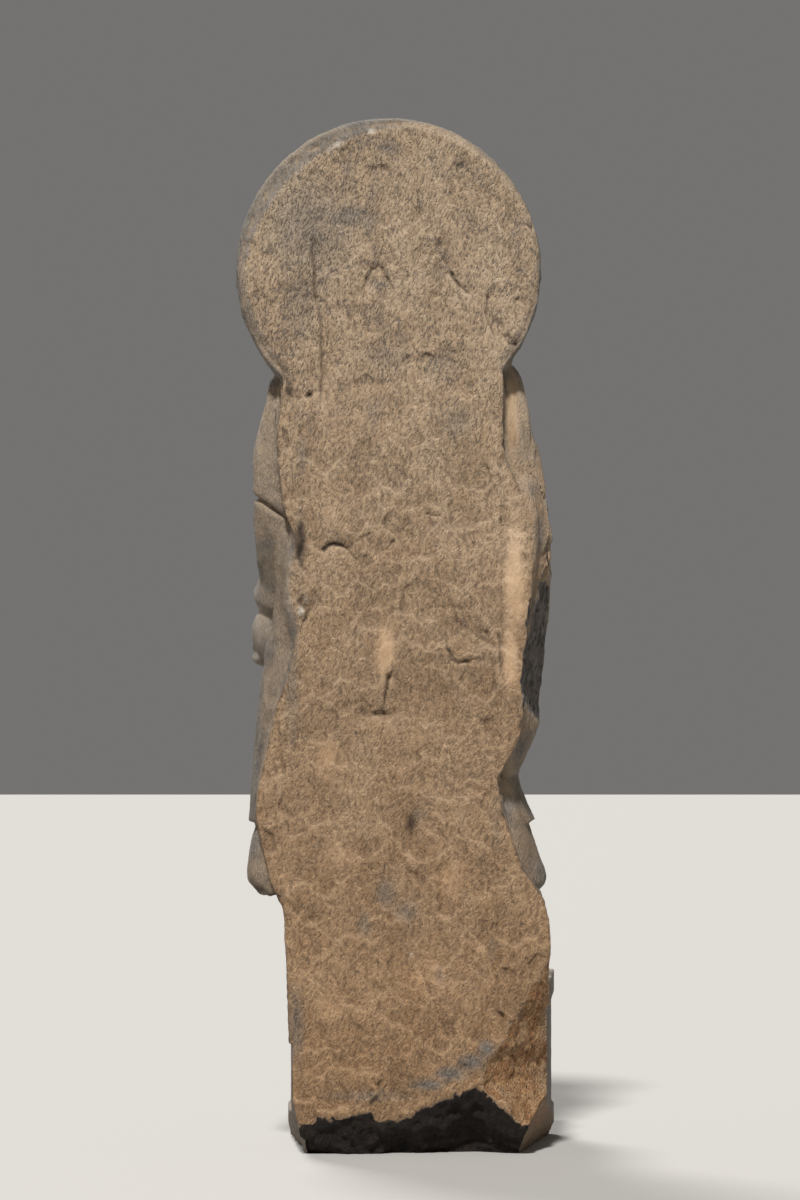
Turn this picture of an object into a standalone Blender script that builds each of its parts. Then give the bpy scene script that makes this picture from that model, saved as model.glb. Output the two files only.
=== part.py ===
"""A standing robed figure with a halo, carved in high relief from one block of grey schist.

The figure faces -Y and the rough-hewn back of the stone faces +Y. The origin is under the middle of
the stone, on the surface that it stands on. All sizes are in metres unless a comment says otherwise.
"""

import math

import bmesh
import bpy
import numpy as np
from mathutils import Matrix, Vector

# Sizes of the block that the figure is cut from.
PLINTH_HEIGHT = 0.172
PLINTH_DEPTH = 0.210
PLINTH_LEFT = 0.1145
PLINTH_RIGHT = 0.1625
PLINTH_TAPER_LEFT = 0.006
PLINTH_TAPER_RIGHT = 0.012
SLAB_THICKNESS = 0.030
HALO_RADIUS = 0.153
HALO_THICKNESS = 0.031
HALO_CHAMFER = 0.011
FIGURE_HEIGHT = 0.820

# Mouldings and flowers on the front of the plinth.
TOP_FILLET = 0.024
FOOT_FILLET = 0.034
FILLET_PROJECTION = 0.006
FLOWERS = 4
FLOWER_RADIUS = 0.026
FLOWER_HEIGHT = 0.006
HALO_LINE_WIDTH = 0.003
HALO_LINE_DEPTH = 0.0015
HALO_BORDER = 0.014

# The figure is drawn on a scale of 820 units from its soles to its crown, so a unit is a millimetre
# on the real stone. Its depth is counted forward from the front of the slab behind it, and its x
# from a line a little to its left of the middle of the block.
FIGURE_SCALE = 820
UNIT = FIGURE_HEIGHT / FIGURE_SCALE
FIGURE_X = 0.0045
BACK_Y = PLINTH_DEPTH / 2
SLAB_FRONT_Y = BACK_Y - SLAB_THICKNESS
SUNK = -SLAB_THICKNESS * 0.6 / UNIT

# How finely the joined forms are meshed, and how many triangles the finished solid keeps.
GRAIN = 0.0036
TRIANGLES = 9700
GROUND_MARGIN = 0.006

# Each row of a limb is x, depth, height and radius, in units of the figure.
LEFT_ARM = [
    (84, 26, 590, 33), (95, 24, 548, 34), (102, 24, 508, 34), (103, 25, 496, 33.5),
    (108, 27, 485, 31.5), (109, 36, 448, 30), (109, 56, 408, 26), (111, 68, 388, 23),
]
WRIST_ROLL = [(112, 66, 393, 27), (113, 70, 386, 28), (114, 73, 379, 24)]
LEFT_FINGERS = [
    [(138, 84 - 2 * step, 358 - 11 * step, 7), (128, 101 - 2 * step, 354 - 11 * step, 7.5),
     (114, 104 - 2 * step, 351 - 11 * step, 7), (104, 96 - 2 * step, 350 - 11 * step, 6)]
    for step in range(4)
]
LEFT_THUMB = [(113, 84, 374, 8), (106, 96, 368, 8), (101, 104, 360, 6.5)]
LEFT_PALM = ((122, 78, 350), (23, 24, 30))
RIGHT_ARM = [
    (-86, 26, 592, 34), (-97, 24, 552, 34), (-108, 26, 500, 33.5), (-115, 32, 455, 33),
    (-116, 46, 432, 33), (-115, 76, 440, 30), (-113, 100, 458, 28), (-112, 124, 478, 26),
]
NECK = [(4, 30, 610, 40), (4, 38, 650, 31), (4, 44, 700, 29)]
COLLAR = [
    (46, 6, 646, 9), (40, 40, 636, 10), (20, 68, 618, 10.5), (-4, 76, 609, 10.5), (-26, 66, 617, 10),
    (-41, 38, 634, 9.5), (-45, 6, 646, 9),
]
RIGHT_LEG = [(-45, 46, 80, 34), (-47, 56, 150, 42), (-46, 64, 240, 47), (-44, 60, 330, 48), (-40, 44, 400, 46)]
LEFT_LEG = [(49, 42, 80, 33), (50, 50, 150, 39), (51, 68, 228, 45), (48, 62, 320, 47), (42, 44, 400, 46)]
ANKLES = {"right_ankle": (-48, 1), "left_ankle": (50, -1)}

# Each row of a loft is height, left edge, right edge, front, back and squareness of the section.
ROBE = [
    (70, 106, -118, 72, SUNK, 3.0), (90, 116, -143, 82, SUNK, 3.0), (104, 120, -152, 86, SUNK, 3.0),
    (135, 118, -142, 91, SUNK, 2.8), (180, 111, -127, 97, SUNK, 2.6), (218, 106, -116, 101, SUNK, 2.5),
    (310, 100, -105, 104, SUNK, 2.4), (380, 94, -98, 102, SUNK, 2.4), (440, 88, -91, 98, SUNK, 2.3),
    (500, 90, -91, 99, SUNK, 2.3), (545, 98, -98, 95, SUNK, 2.3), (575, 111, -114, 84, SUNK, 2.3),
    (590, 112, -116, 76, SUNK, 2.3), (603, 104, -108, 68, SUNK, 2.2), (617, 84, -86, 58, SUNK, 2.2),
    (633, 58, -53, 46, SUNK, 2.2), (648, 38, -33, 34, SUNK, 2.2),
]
LEFT_FALL = [
    (148, 136, 84, 78, -14, 3.2), (172, 138, 86, 82, -14, 3.2), (237, 134, 88, 86, -12, 3.0),
    (303, 127, 86, 88, -8, 2.8), (332, 124, 86, 84, -6, 2.6), (350, 122, 84, 66, -6, 2.4),
    (390, 118, 82, 52, -6, 2.4), (450, 116, 80, 40, -6, 2.4),
]
UNDER_LEFT = [(89, 134, 84, 62, -16, 3.0), (104, 145, 84, 66, -16, 3.2), (124, 144, 84, 68, -16, 3.2),
              (150, 140, 84, 68, -14, 3.0)]
RIGHT_FALL = [
    (214, -90, -121, 76, -10, 2.8), (233, -88, -129, 82, -12, 2.8), (263, -86, -141, 88, -14, 3.0),
    (320, -86, -147, 92, -14, 3.0), (385, -86, -151, 94, -10, 3.0), (425, -88, -150, 92, -4, 2.8),
    (450, -92, -144, 86, 2, 2.6),
]

# The rough slab behind the figure: height, left edge and right edge, in units of the figure.
SLAB_EDGES = [
    (-60, 105, -153), (10, 107, -156), (35, 108, -157), (58, 109, -156), (77, 112, -153), (90, 118, -148),
    (105, 124, -137), (122, 128, -127), (150, 135, -117), (172, 138, -110), (194, 136, -106),
    (205, 134, -105), (220, 131, -113), (237, 128, -122), (258, 123, -129), (281, 117, -132),
    (310, 107, -133), (342, 100, -134), (364, 93, -136), (384, 95, -138), (428, 94, -141),
    (453, 102, -139), (472, 109, -134), (503, 114, -124), (524, 116, -112), (554, 116, -109),
    (612, 110, -109), (650, 96, -96),
]

# Head: the middle of the face, and heights of its parts, in units of the figure.
FACE_X = 4
CHIN_Z = 673
EYE_Z = 736
CROWN_Z = 796
SKULL = ((FACE_X, 48, 743), (49, 57, 56))
JAW = ((FACE_X, 62, 704), (37, 40, 35))
TOPKNOT = ((FACE_X, 46, 796), (30, 31, 28))
HEAD_BRIDGE = ((FACE_X, 6, 735), (40, 20, 48))
EAR_X = 49
HALO_CENTRE = (5, 714)

# The stone lost from the block: a point on each break, the way it faces, and the heights between
# which it fades in from below and out above.
BREAKS = {
    "lower_right_corner": ((-0.0775, BACK_Y, 0.092), (-0.56, 0.74, -0.37), (0.028, 0.062), (0.250, 0.270)),
    "rear_foot": ((0.0, BACK_Y, 0.056), (-0.06, 0.89, -0.45), (-1.0, -0.9), (0.250, 0.270)),
    "right_foot_corner": ((-0.1485, -0.066, 0.0), (-0.80, 0.157, -0.35), (-1.0, -0.9), (0.250, 0.270)),
    "left_foot_corner": ((0.099, 0.0, 0.0), (0.90, 0.087, -0.27), (-1.0, -0.9), (0.250, 0.270)),
}
FOREARM_BREAK = ((-109, 103, 462), (0.05, -0.86, 0.50))
FOREARM_REACH = ((-109, 118, 476), 46)
SLEEVE_BREAK = ((-142, 2, 345), (-0.82, 0.55, 0.0))
SLEEVE_REACH = ((-146, 0, 345), 84)

# Shallow hollows that the mason's point left all over the rough back.
HOLLOWS = 90
HOLLOW_RADII = (0.016, 0.046)
HOLLOW_DEPTHS = (0.0008, 0.0030)
HOLLOW_SEED = 12


def at(x, depth, z):
    """The place in metres of a point given in units of the figure."""
    return Vector((FIGURE_X + x * UNIT, SLAB_FRONT_Y - depth * UNIT, PLINTH_HEIGHT + z * UNIT))


def smooth_rows(rows, steps):
    """Rows of numbers made finer by a curve that passes through each of them."""
    knots = np.asarray(rows, float)
    padded = np.vstack([2 * knots[0] - knots[1], knots, 2 * knots[-1] - knots[-2]])
    place = np.linspace(0, len(knots) - 1, (len(knots) - 1) * steps + 1)
    index = np.minimum(place.astype(int), len(knots) - 2)
    t = (place - index)[:, None]
    a, b, c, d = (padded[index + shift] for shift in range(4))
    return 0.5 * (2 * b + (c - a) * t + (2 * a - 5 * b + 4 * c - d) * t**2 + (3 * b - a - 3 * c + d) * t**3)


def new_object(name, mesh, group):
    """An object of this mesh in this collection."""
    made = bpy.data.objects.new(name, mesh)
    group.objects.link(made)
    return made


def ellipsoid(name, centre, radii, group):
    """A ball stretched to three radii, in units of the figure: across, forward and up."""
    mesh = bpy.data.meshes.new(name)
    ball = bmesh.new()
    bmesh.ops.create_uvsphere(ball, u_segments=32, v_segments=18, radius=1)
    stretch = Matrix.Diagonal([radius * UNIT for radius in radii] + [1])
    bmesh.ops.transform(ball, matrix=Matrix.Translation(at(*centre)) @ stretch, verts=ball.verts)
    ball.to_mesh(mesh)
    ball.free()
    return new_object(name, mesh, group)


def limb(name, stations, group):
    """A round form that tapers along a smooth line, such as an arm, a finger or a roll of cloth."""
    rows = smooth_rows(stations, 5)
    curve = bpy.data.curves.new(name, "CURVE")
    curve.dimensions = "3D"
    curve.bevel_depth = UNIT
    curve.bevel_resolution = 6
    curve.use_fill_caps = True
    spline = curve.splines.new("POLY")
    spline.points.add(len(rows) - 1)
    for point, (x, depth, z, radius) in zip(spline.points, rows):
        point.co = (*at(x, depth, z), 1)
        point.radius = radius
    return mesh_of_curve(new_object(name, curve, group), group)


def mesh_of_curve(source, group):
    """The same shape as a mesh with its caps welded on, in place of the curve."""
    name = source.name
    graph = bpy.context.evaluated_depsgraph_get()
    mesh = bpy.data.meshes.new_from_object(source.evaluated_get(graph))
    bpy.data.objects.remove(source)
    welded = bmesh.new()
    welded.from_mesh(mesh)
    bmesh.ops.remove_doubles(welded, verts=welded.verts, dist=1e-5)
    welded.to_mesh(mesh)
    welded.free()
    return new_object(name, mesh, group)


def section(left, right, front, back, squareness, sides=48):
    """Points round a rounded oblong, from x and depth limits. Squareness 2 is an ellipse."""
    turn = np.linspace(0, 2 * math.pi, sides, endpoint=False)
    across = np.sign(np.cos(turn)) * np.abs(np.cos(turn)) ** (2 / squareness)
    forward = np.sign(np.sin(turn)) * np.abs(np.sin(turn)) ** (2 / squareness)
    x = (left + right) / 2 + (left - right) / 2 * across
    depth = (front + back) / 2 + (front - back) / 2 * forward
    return np.column_stack([x, depth])


def loft(name, rows, group, steps=4):
    """A form skinned over level sections of unlike shape, with a flat end above and below."""
    rings = [(row[0], section(*row[1:])) for row in smooth_rows(rows, steps)]
    sides = len(rings[0][1])
    skin = bmesh.new()
    levels = [[skin.verts.new(at(x, depth, z)) for x, depth in ring] for z, ring in rings]
    for lower, upper in zip(levels, levels[1:]):
        for side in range(sides):
            after = (side + 1) % sides
            skin.faces.new((lower[side], lower[after], upper[after], upper[side]))
    skin.faces.new(levels[0])
    skin.faces.new(levels[-1])
    bmesh.ops.recalc_face_normals(skin, faces=skin.faces)
    mesh = bpy.data.meshes.new(name)
    skin.to_mesh(mesh)
    skin.free()
    return new_object(name, mesh, group)


def block(name, low, high, bevel, group):
    """A box between two corners with softened edges."""
    mesh = bpy.data.meshes.new(name)
    box = bmesh.new()
    size = Vector(high) - Vector(low)
    middle = (Vector(high) + Vector(low)) / 2
    bmesh.ops.create_cube(box, size=1, matrix=Matrix.Translation(middle) @ Matrix.Diagonal((*size, 1)))
    box.to_mesh(mesh)
    box.free()
    made = new_object(name, mesh, group)
    if bevel:
        edges = made.modifiers.new("softened edges", "BEVEL")
        edges.width = bevel
        edges.segments = 2
    return made


def halo(group):
    """The disc behind the head: a turned profile, with the edge chamfered towards the back."""
    profile = bpy.data.meshes.new("halo")
    front = -HALO_THICKNESS / 2
    back = HALO_THICKNESS / 2
    corners = [
        (0, back), (HALO_RADIUS - HALO_CHAMFER, back), (HALO_RADIUS, back - HALO_CHAMFER),
        (HALO_RADIUS - HALO_CHAMFER / 4, front), (0, front),
    ]
    profile.from_pydata([(radius, 0, height) for radius, height in corners],
                        [(step, step + 1) for step in range(len(corners) - 1)], [])
    made = new_object("halo", profile, group)
    turned = made.modifiers.new("turned", "SCREW")
    turned.steps = turned.render_steps = 72
    turned.use_merge_vertices = True
    turned.merge_threshold = 0.0001
    turned.use_normal_calculate = True
    x, z = HALO_CENTRE
    made.location = at(x, 0, z)
    made.location.y = BACK_Y - HALO_THICKNESS / 2
    made.rotation_euler = (-math.pi / 2, 0, 0)
    return made


def plinth(group):
    """The block under the feet: a plain die between two projecting fillets, a little narrower behind."""
    front = -PLINTH_DEPTH / 2 + FILLET_PROJECTION
    inset = FILLET_PROJECTION / 2
    die = block("plinth_die", (-PLINTH_RIGHT + inset, front, -GROUND_MARGIN),
                (PLINTH_LEFT - inset, BACK_Y, PLINTH_HEIGHT), 0, group)
    top = block("plinth_top", (-PLINTH_RIGHT, -PLINTH_DEPTH / 2, PLINTH_HEIGHT - TOP_FILLET),
                (PLINTH_LEFT, BACK_Y, PLINTH_HEIGHT), 0, group)
    foot = block("plinth_foot", (-PLINTH_RIGHT, -PLINTH_DEPTH / 2, -GROUND_MARGIN),
                 (PLINTH_LEFT, BACK_Y, FOOT_FILLET), 0, group)
    for piece in (die, top, foot):
        for vertex in piece.data.vertices:
            if vertex.co.y > 0:
                vertex.co.x += PLINTH_TAPER_RIGHT if vertex.co.x < 0 else -PLINTH_TAPER_LEFT
    return die, top, foot


def foot(name, x, turn, group):
    """A bare foot on the plinth: ankle, instep, heel and five toes, turned out a little."""
    limb(f"{name}_shin", [(x, 50, 96, 21), (x, 50, 60, 18), (x, 54, 30, 18), (x, 58, 8, 17)], group)
    toe_x = x - 7 * turn
    limb(f"{name}_instep", [(x, 44, 13, 15), (x - turn, 74, 18, 18), (x - 4 * turn, 108, 12, 18),
                            (toe_x, 134, 7, 15)], group)
    limb(f"{name}_ball", [(toe_x - 13, 122, 6, 9), (toe_x, 128, 8, 11), (toe_x + 13, 122, 6, 9)], group)
    for toe in range(5):
        across = (toe - 2) * 7.6 * turn
        reach = 154 - 3.5 * toe
        size = 7.2 if toe == 0 else 5.2
        start = toe_x + across
        limb(f"{name}_toe_{toe}", [(start, 128, 7, size), (start, reach - 9, 7, size),
                                   (start, reach, 5, size * 0.8)], group)


def head(group):
    """The bare shapes of the head: skull, jaw, top-knot, ears and the stone that ties it to the halo."""
    ellipsoid("skull", *SKULL, group)
    ellipsoid("jaw", *JAW, group)
    ellipsoid("topknot", *TOPKNOT, group)
    ellipsoid("head_bridge", *HEAD_BRIDGE, group)
    for side in (-1, 1):
        ear_x = FACE_X + side * EAR_X
        limb(f"ear_{'left' if side > 0 else 'right'}",
             [(ear_x - side, 46, 750, 6), (ear_x + side, 42, 738, 8), (ear_x, 45, 720, 6),
              (ear_x - 2 * side, 48, 700, 5.5), (ear_x - 5 * side, 49, 684, 6)], group)


def build_forms(group):
    """Every form of the stone, overlapping its neighbours, before they are merged into one."""
    plinth(group)
    halo(group)
    loft("slab", [(z, left, right, 0, -SLAB_THICKNESS / UNIT, 12) for z, left, right in SLAB_EDGES], group, 2)
    loft("robe", ROBE, group)
    loft("left_fall", LEFT_FALL, group)
    loft("under_robe_left", UNDER_LEFT, group)
    loft("right_fall", RIGHT_FALL, group)
    for name, stations in {
        "left_arm": LEFT_ARM, "wrist_roll": WRIST_ROLL, "left_thumb": LEFT_THUMB, "right_arm": RIGHT_ARM,
        "neck": NECK, "collar": COLLAR, "right_leg": RIGHT_LEG, "left_leg": LEFT_LEG,
    }.items():
        limb(name, stations, group)
    for number, stations in enumerate(LEFT_FINGERS):
        limb(f"left_finger_{number}", stations, group)
    ellipsoid("left_palm", *LEFT_PALM, group)
    for name, (x, turn) in ANKLES.items():
        foot(name.replace("ankle", "foot"), x, turn, group)
    head(group)


def merge_forms(group, target):
    """One closed skin round all the forms, as the inner faces of a heap of shapes are of no use."""
    graph = bpy.context.evaluated_depsgraph_get()
    heap = bmesh.new()
    for form in list(group.objects):
        mesh = bpy.data.meshes.new_from_object(form.evaluated_get(graph))
        mesh.transform(form.matrix_world)
        heap.from_mesh(mesh)
        bpy.data.meshes.remove(mesh)
        bpy.data.objects.remove(form)
    mesh = bpy.data.meshes.new("forms")
    heap.to_mesh(mesh)
    heap.free()
    joined = new_object("forms", mesh, target)
    skin = joined.modifiers.new("one skin", "REMESH")
    skin.mode = "VOXEL"
    skin.voxel_size = GRAIN
    soft = joined.modifiers.new("worn edges", "SMOOTH")
    soft.factor = 0.5
    soft.iterations = 2
    return joined


def ramp(value, low, high):
    """0 below low, 1 above high, with a smooth step between them."""
    t = np.clip((value - low) / (high - low), 0, 1)
    return t * t * (3 - 2 * t)


def hill(distance, width):
    """A rounded ridge, 1 on its line and almost 0 two widths away."""
    return np.exp(-((distance / width) ** 2))


def zigzag(t):
    """A wave of straight lines between 0 and 1, with a period of 1."""
    return 2 * np.abs(t - np.floor(t) - 0.5)


def fold_ridges(phase):
    """Rounded ridges at whole numbers, steep below and easy above, with a thin one between each pair."""
    t = phase - np.floor(phase)
    upper = hill(t, 0.30)
    lower = hill(1 - t, 0.16)
    return np.maximum(upper, lower) + 0.35 * hill(t - 0.56, 0.09)


def robe_relief(x, depth, z):
    """How far the folds, pleats and hems stand out of the robe, in units of the figure."""
    centre = np.interp(z, [150, 300, 450, 600], [-6, -14, -22, -10])
    left_rise = np.interp(z, [120, 300, 440, 520, 620], [30, 78, 120, 105, 70])
    right_rise = np.interp(z, [120, 300, 440, 520, 620], [30, 74, 60, 66, 60])
    to_left = (np.maximum(x - centre, 0) / 110) ** 1.7
    to_right = (np.maximum(centre - x, 0) / 110) ** 1.7
    level = z - left_rise * to_left - right_rise * to_right
    body = 5.5 * fold_ridges(level / 27)
    round_arm = x + np.sign(x) * 0.8 * np.maximum(30 - depth, 0)
    sleeve = 3.6 * fold_ridges((np.abs(round_arm) + 0.42 * z) / 21)
    pleats = 5.0 * zigzag((np.abs(x) + 0.05 * z) / 17)
    on_arm = ramp(np.abs(x), 84, 98) * ramp(z, 400, 430)
    on_fall = ramp(np.abs(x), 84, 92) * (1 - ramp(z, np.where(x > 0, 318, 400), np.where(x > 0, 338, 430)))
    folds = body * (1 - on_arm) * (1 - on_fall) + sleeve * on_arm + pleats * on_fall
    hem = 122 + 16 * (x / 100) ** 2 + 9 * zigzag(x / 17) * ramp(np.abs(x), 80, 88)
    above_hem = ramp(z, hem - 2, hem + 3)
    below_hem = 2.5 * zigzag(x / 12)
    forearm = ramp(x, 84, 92) * ramp(z, 340, 350) * (1 - ramp(z, 480, 490))
    return (above_hem * (folds + 7) + (1 - above_hem) * below_hem) * (1 - 0.8 * forearm)


def robe_mask(x, depth, z, facing):
    """1 on the cloth of the robe, 0 on the head, hand, feet, plinth, halo and rough back."""
    cloth = ramp(z, 66, 72) * (1 - ramp(z, 622, 640))
    hand = ramp(x, 90, 96) * ramp(z, 306, 314) * (1 - ramp(z, 374, 380)) * ramp(depth, 30, 40)
    return cloth * (1 - hand) * ramp(facing, -0.35, 0.15) * ramp(depth, -8, 6)


def face_relief(x, z):
    """How far a calm, even face stands out of the bare head, in units of the figure."""
    u = np.abs(x - FACE_X)
    w = z - EYE_Z
    brow = 3.0 * hill(w - 13 - 4 * np.cos(u / 14), 3.0) * ramp(u, 1, 7) * (1 - ramp(u, 36, 44))
    socket = -5.0 * hill(np.hypot((u - 20) / 16, (w - 1) / 9), 1)
    eye = 5.0 * np.sqrt(np.clip(1 - ((u - 20) / 13) ** 2 - ((w + 1) / 8) ** 2, 0, 1))
    lid = -1.4 * hill(w + 3.5 - 0.04 * (u - 20) ** 2, 1.2) * (1 - ramp(np.abs(u - 20), 10, 13))
    bridge = ramp(w, -30, -24) * (1 - ramp(w, 4, 18))
    nose = np.interp(w, [-26, -22, 6, 16], [13, 14, 5, 2]) * hill(u, np.interp(w, [-24, 8], [8.5, 6])) * bridge
    wings = 4.5 * hill(np.hypot(u - 9, w + 23), 4.5)
    lips = 4.2 * hill(w + 37 + 0.01 * u**2, 3) + 4.6 * hill(w + 44 - 0.01 * u**2, 3.6)
    mouth = (lips - 2.6 * hill(w + 40, 1.3)) * (1 - ramp(u, 12, 18))
    chin = 4.0 * hill(np.hypot(u, w + 56), 12)
    mark = 1.5 * hill(np.hypot(u, w - 22), 3.2)
    return brow + socket + eye + lid + nose + wings + mouth + chin + mark


def hair_relief(x, depth, z):
    """Thick waves of hair drawn up to the top-knot, above the line where they meet the face."""
    side = np.abs(x - FACE_X)
    hairline = EYE_Z + 34 - 26 * (side / 46) ** 2.4
    turn = np.arctan2(x - FACE_X, depth - 40)
    waves = zigzag(turn * 26 / (2 * math.pi) + 0.4 * np.sin(z / 5))
    tie = hill(z - (CROWN_Z - 11) + 0.006 * side**2, 3) * (1 - ramp(side, 26, 40))
    hair = np.maximum(ramp(z, hairline - 1.5, hairline + 1.5), ramp(40 - depth, -4, 4) * ramp(z, 735, 745))
    return hair * (2.5 + 2.2 * waves) - 3.5 * tie


def plinth_relief(x, z):
    """Four-petalled flowers in a row on the die of the plinth, in metres."""
    die_height = PLINTH_HEIGHT - TOP_FILLET - FOOT_FILLET
    middle = FOOT_FILLET + die_height / 2
    pitch = (PLINTH_LEFT + PLINTH_RIGHT) / FLOWERS
    place = (x + PLINTH_RIGHT) / pitch
    across = (place - np.floor(place) - 0.5) * pitch
    up = z - middle
    radius = np.hypot(across, up)
    petal = np.abs(np.cos(2 * np.arctan2(up, across))) ** 0.6
    reach = FLOWER_RADIUS * (0.45 + 0.55 * petal)
    flower = ramp(reach - radius, 0, 0.005) * (0.5 + 0.5 * ramp(radius, 0.006, 0.016))
    heart = ramp(0.0075 - radius, 0, 0.003)
    post = ramp(np.abs(across), pitch / 2 - 0.007, pitch / 2 - 0.004) * ramp(die_height / 2 - np.abs(up), 0, 0.003)
    return FLOWER_HEIGHT * np.maximum(np.maximum(flower, heart), 0.8 * post)


def carve(points, normals):
    """The merged forms with their drapery, features, hair and ornament cut in."""
    x = (points[:, 0] - FIGURE_X) / UNIT
    depth = (SLAB_FRONT_Y - points[:, 1]) / UNIT
    z = (points[:, 2] - PLINTH_HEIGHT) / UNIT
    facing = -normals[:, 1]
    cloth = robe_relief(x, depth, z) * robe_mask(x, depth, z, facing) * UNIT
    moved = points + normals * cloth[:, None]
    on_head = ramp(z, CHIN_Z - 14, CHIN_Z - 4) * ramp(depth, 16, 24)
    side = np.abs(x - FACE_X)
    on_face = on_head * ramp(facing, 0.05, 0.45) * (1 - ramp(side, 42, 47)) * ramp(depth, 40, 56)
    moved[:, 1] -= face_relief(x, z) * on_face * UNIT
    on_ear = ramp(side, 43, 46) * (1 - ramp(z, 752, 758))
    hair = hair_relief(x, depth, z) * on_head * (1 - on_ear) * ramp(z, 700, 712)
    moved += normals * (hair * UNIT)[:, None]
    halo_x, halo_z = HALO_CENTRE
    from_centre = np.hypot(x - halo_x, z - halo_z) * UNIT
    line = hill(from_centre - HALO_RADIUS + HALO_BORDER, HALO_LINE_WIDTH) * ramp(facing, 0.7, 0.9)
    moved[:, 1] += line * HALO_LINE_DEPTH * (depth < 8) * (z > 560)
    die = ramp(facing, 0.7, 0.9) * (points[:, 2] > FOOT_FILLET) * (points[:, 2] < PLINTH_HEIGHT - TOP_FILLET)
    moved[:, 1] -= plinth_relief(points[:, 0], points[:, 2]) * die
    return moved


def rough_back(points):
    """The back of the stone: broad shallow hollows of the first dressing, one over another."""
    chance = np.random.default_rng(HOLLOW_SEED)
    behind = ramp(points[:, 1], BACK_Y - 0.010, BACK_Y - 0.002)
    cut = np.zeros(len(points))
    top = PLINTH_HEIGHT + (HALO_CENTRE[1]) * UNIT + HALO_RADIUS
    for _ in range(HOLLOWS):
        x, z = chance.uniform(-PLINTH_RIGHT, PLINTH_RIGHT), chance.uniform(0, top)
        radius, depth = chance.uniform(*HOLLOW_RADII), chance.uniform(*HOLLOW_DEPTHS)
        reach = np.hypot(points[:, 0] - x, (points[:, 2] - z) * 0.8) / radius
        cut = np.maximum(cut, depth * np.clip(1 - reach**2, 0, 1))
    points[:, 1] -= cut * behind
    return points


def break_off(points, place, facing, strength=1.0):
    """Stone beyond a break is gone, so what stood past that plane is drawn back to it."""
    facing = np.array(facing) / np.linalg.norm(facing)
    past = np.maximum((points - np.array(place)) @ facing, 0) * strength
    return points - past[:, None] * facing


def break_block(points, place, facing, low, high):
    """A break in the block that fades in and out between two pairs of heights."""
    z = points[:, 2]
    return break_off(points, place, facing, ramp(z, *low) * (1 - ramp(z, *high)))


def break_figure(points, place, facing, reach, size):
    """A break in one limb of the figure, within reach of a point, in units of the figure."""
    near = np.linalg.norm(points - np.array(at(*reach)), axis=1) < size * UNIT
    points[near] = break_off(points[near], at(*place), facing)
    return points


def finish_statue(joined, group, cutters):
    """The carved and broken mesh, thinned to a solid that is flat under its foot."""
    graph = bpy.context.evaluated_depsgraph_get()
    mesh = bpy.data.meshes.new_from_object(joined.evaluated_get(graph))
    bpy.data.objects.remove(joined)
    count = len(mesh.vertices)
    points = np.empty(count * 3, np.float32)
    mesh.vertices.foreach_get("co", points)
    normals = np.empty(count * 3, np.float32)
    mesh.vertex_normals.foreach_get("vector", normals)
    points = carve(points.reshape(-1, 3).astype(float), normals.reshape(-1, 3).astype(float))
    points = rough_back(points)
    points = break_figure(points, *FOREARM_BREAK, *FOREARM_REACH)
    points = break_figure(points, *SLEEVE_BREAK, *SLEEVE_REACH)
    for broken in BREAKS.values():
        points = break_block(points, *broken)
    mesh.vertices.foreach_set("co", points.astype(np.float32).ravel())
    statue = new_object("standing_buddha", mesh, group)
    thinned = statue.modifiers.new("fewer faces", "DECIMATE")
    thinned.ratio = TRIANGLES / (2 * len(mesh.polygons))
    ground = block("ground", (-1, -1, -0.2), (1, 1, 0), 0, cutters)
    ground.hide_render = True
    ground.display_type = "WIRE"
    flat = statue.modifiers.new("flat foot", "BOOLEAN")
    flat.object = ground
    statue.data.shade_smooth()
    return statue


def schist():
    """Dark grey schist under buff dust."""
    material = bpy.data.materials.new("grey_schist")
    material.use_nodes = True
    shader = material.node_tree.nodes["Principled BSDF"]
    shader.inputs["Base Color"].default_value = (0.30, 0.23, 0.165, 1)
    shader.inputs["Roughness"].default_value = 0.85
    shader.inputs["Metallic"].default_value = 0.0
    return material


def new_collection(name):
    group = bpy.data.collections.new(name)
    bpy.context.scene.collection.children.link(group)
    return group


def main():
    for old in list(bpy.data.objects):
        bpy.data.objects.remove(old)
    statue_group = new_collection("standing_buddha")
    cutters = new_collection("cutters")
    forms = new_collection("forms")
    build_forms(forms)
    bpy.context.view_layer.update()
    joined = merge_forms(forms, statue_group)
    bpy.context.view_layer.update()
    statue = finish_statue(joined, statue_group, cutters)
    statue.data.materials.append(schist())
    bpy.data.collections.remove(forms)


main()
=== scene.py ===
"""A standing robed figure with a round halo and a tall plinth, carved from one block of grey schist.

The figure faces -Y and the rough back of the stone faces +Y, as in the frame. Sizes are in metres, and
the figure's own forms are in units of a millimetre: x, depth in front of the slab, height above the plinth.
"""

import math

import bpy
import numpy as np
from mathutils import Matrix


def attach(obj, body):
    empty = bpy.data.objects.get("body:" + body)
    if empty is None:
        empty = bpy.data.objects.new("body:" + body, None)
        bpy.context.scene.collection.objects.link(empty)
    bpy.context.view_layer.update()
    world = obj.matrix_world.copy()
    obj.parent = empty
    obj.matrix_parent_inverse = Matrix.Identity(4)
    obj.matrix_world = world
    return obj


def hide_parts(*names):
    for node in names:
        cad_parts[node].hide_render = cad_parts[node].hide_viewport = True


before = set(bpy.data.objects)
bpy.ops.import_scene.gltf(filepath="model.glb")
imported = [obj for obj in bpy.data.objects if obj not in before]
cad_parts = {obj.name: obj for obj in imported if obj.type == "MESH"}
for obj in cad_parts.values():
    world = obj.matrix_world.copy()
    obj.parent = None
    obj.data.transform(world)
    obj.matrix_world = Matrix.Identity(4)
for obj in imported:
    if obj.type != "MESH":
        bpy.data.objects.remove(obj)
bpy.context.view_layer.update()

# The view: the camera stands behind the stone, level with its middle and untilted, so far off that a
# millimetre of the rough back is one step of the picture.
camera_data = bpy.data.cameras.new("camera")
camera_data.sensor_fit = "VERTICAL"
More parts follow.
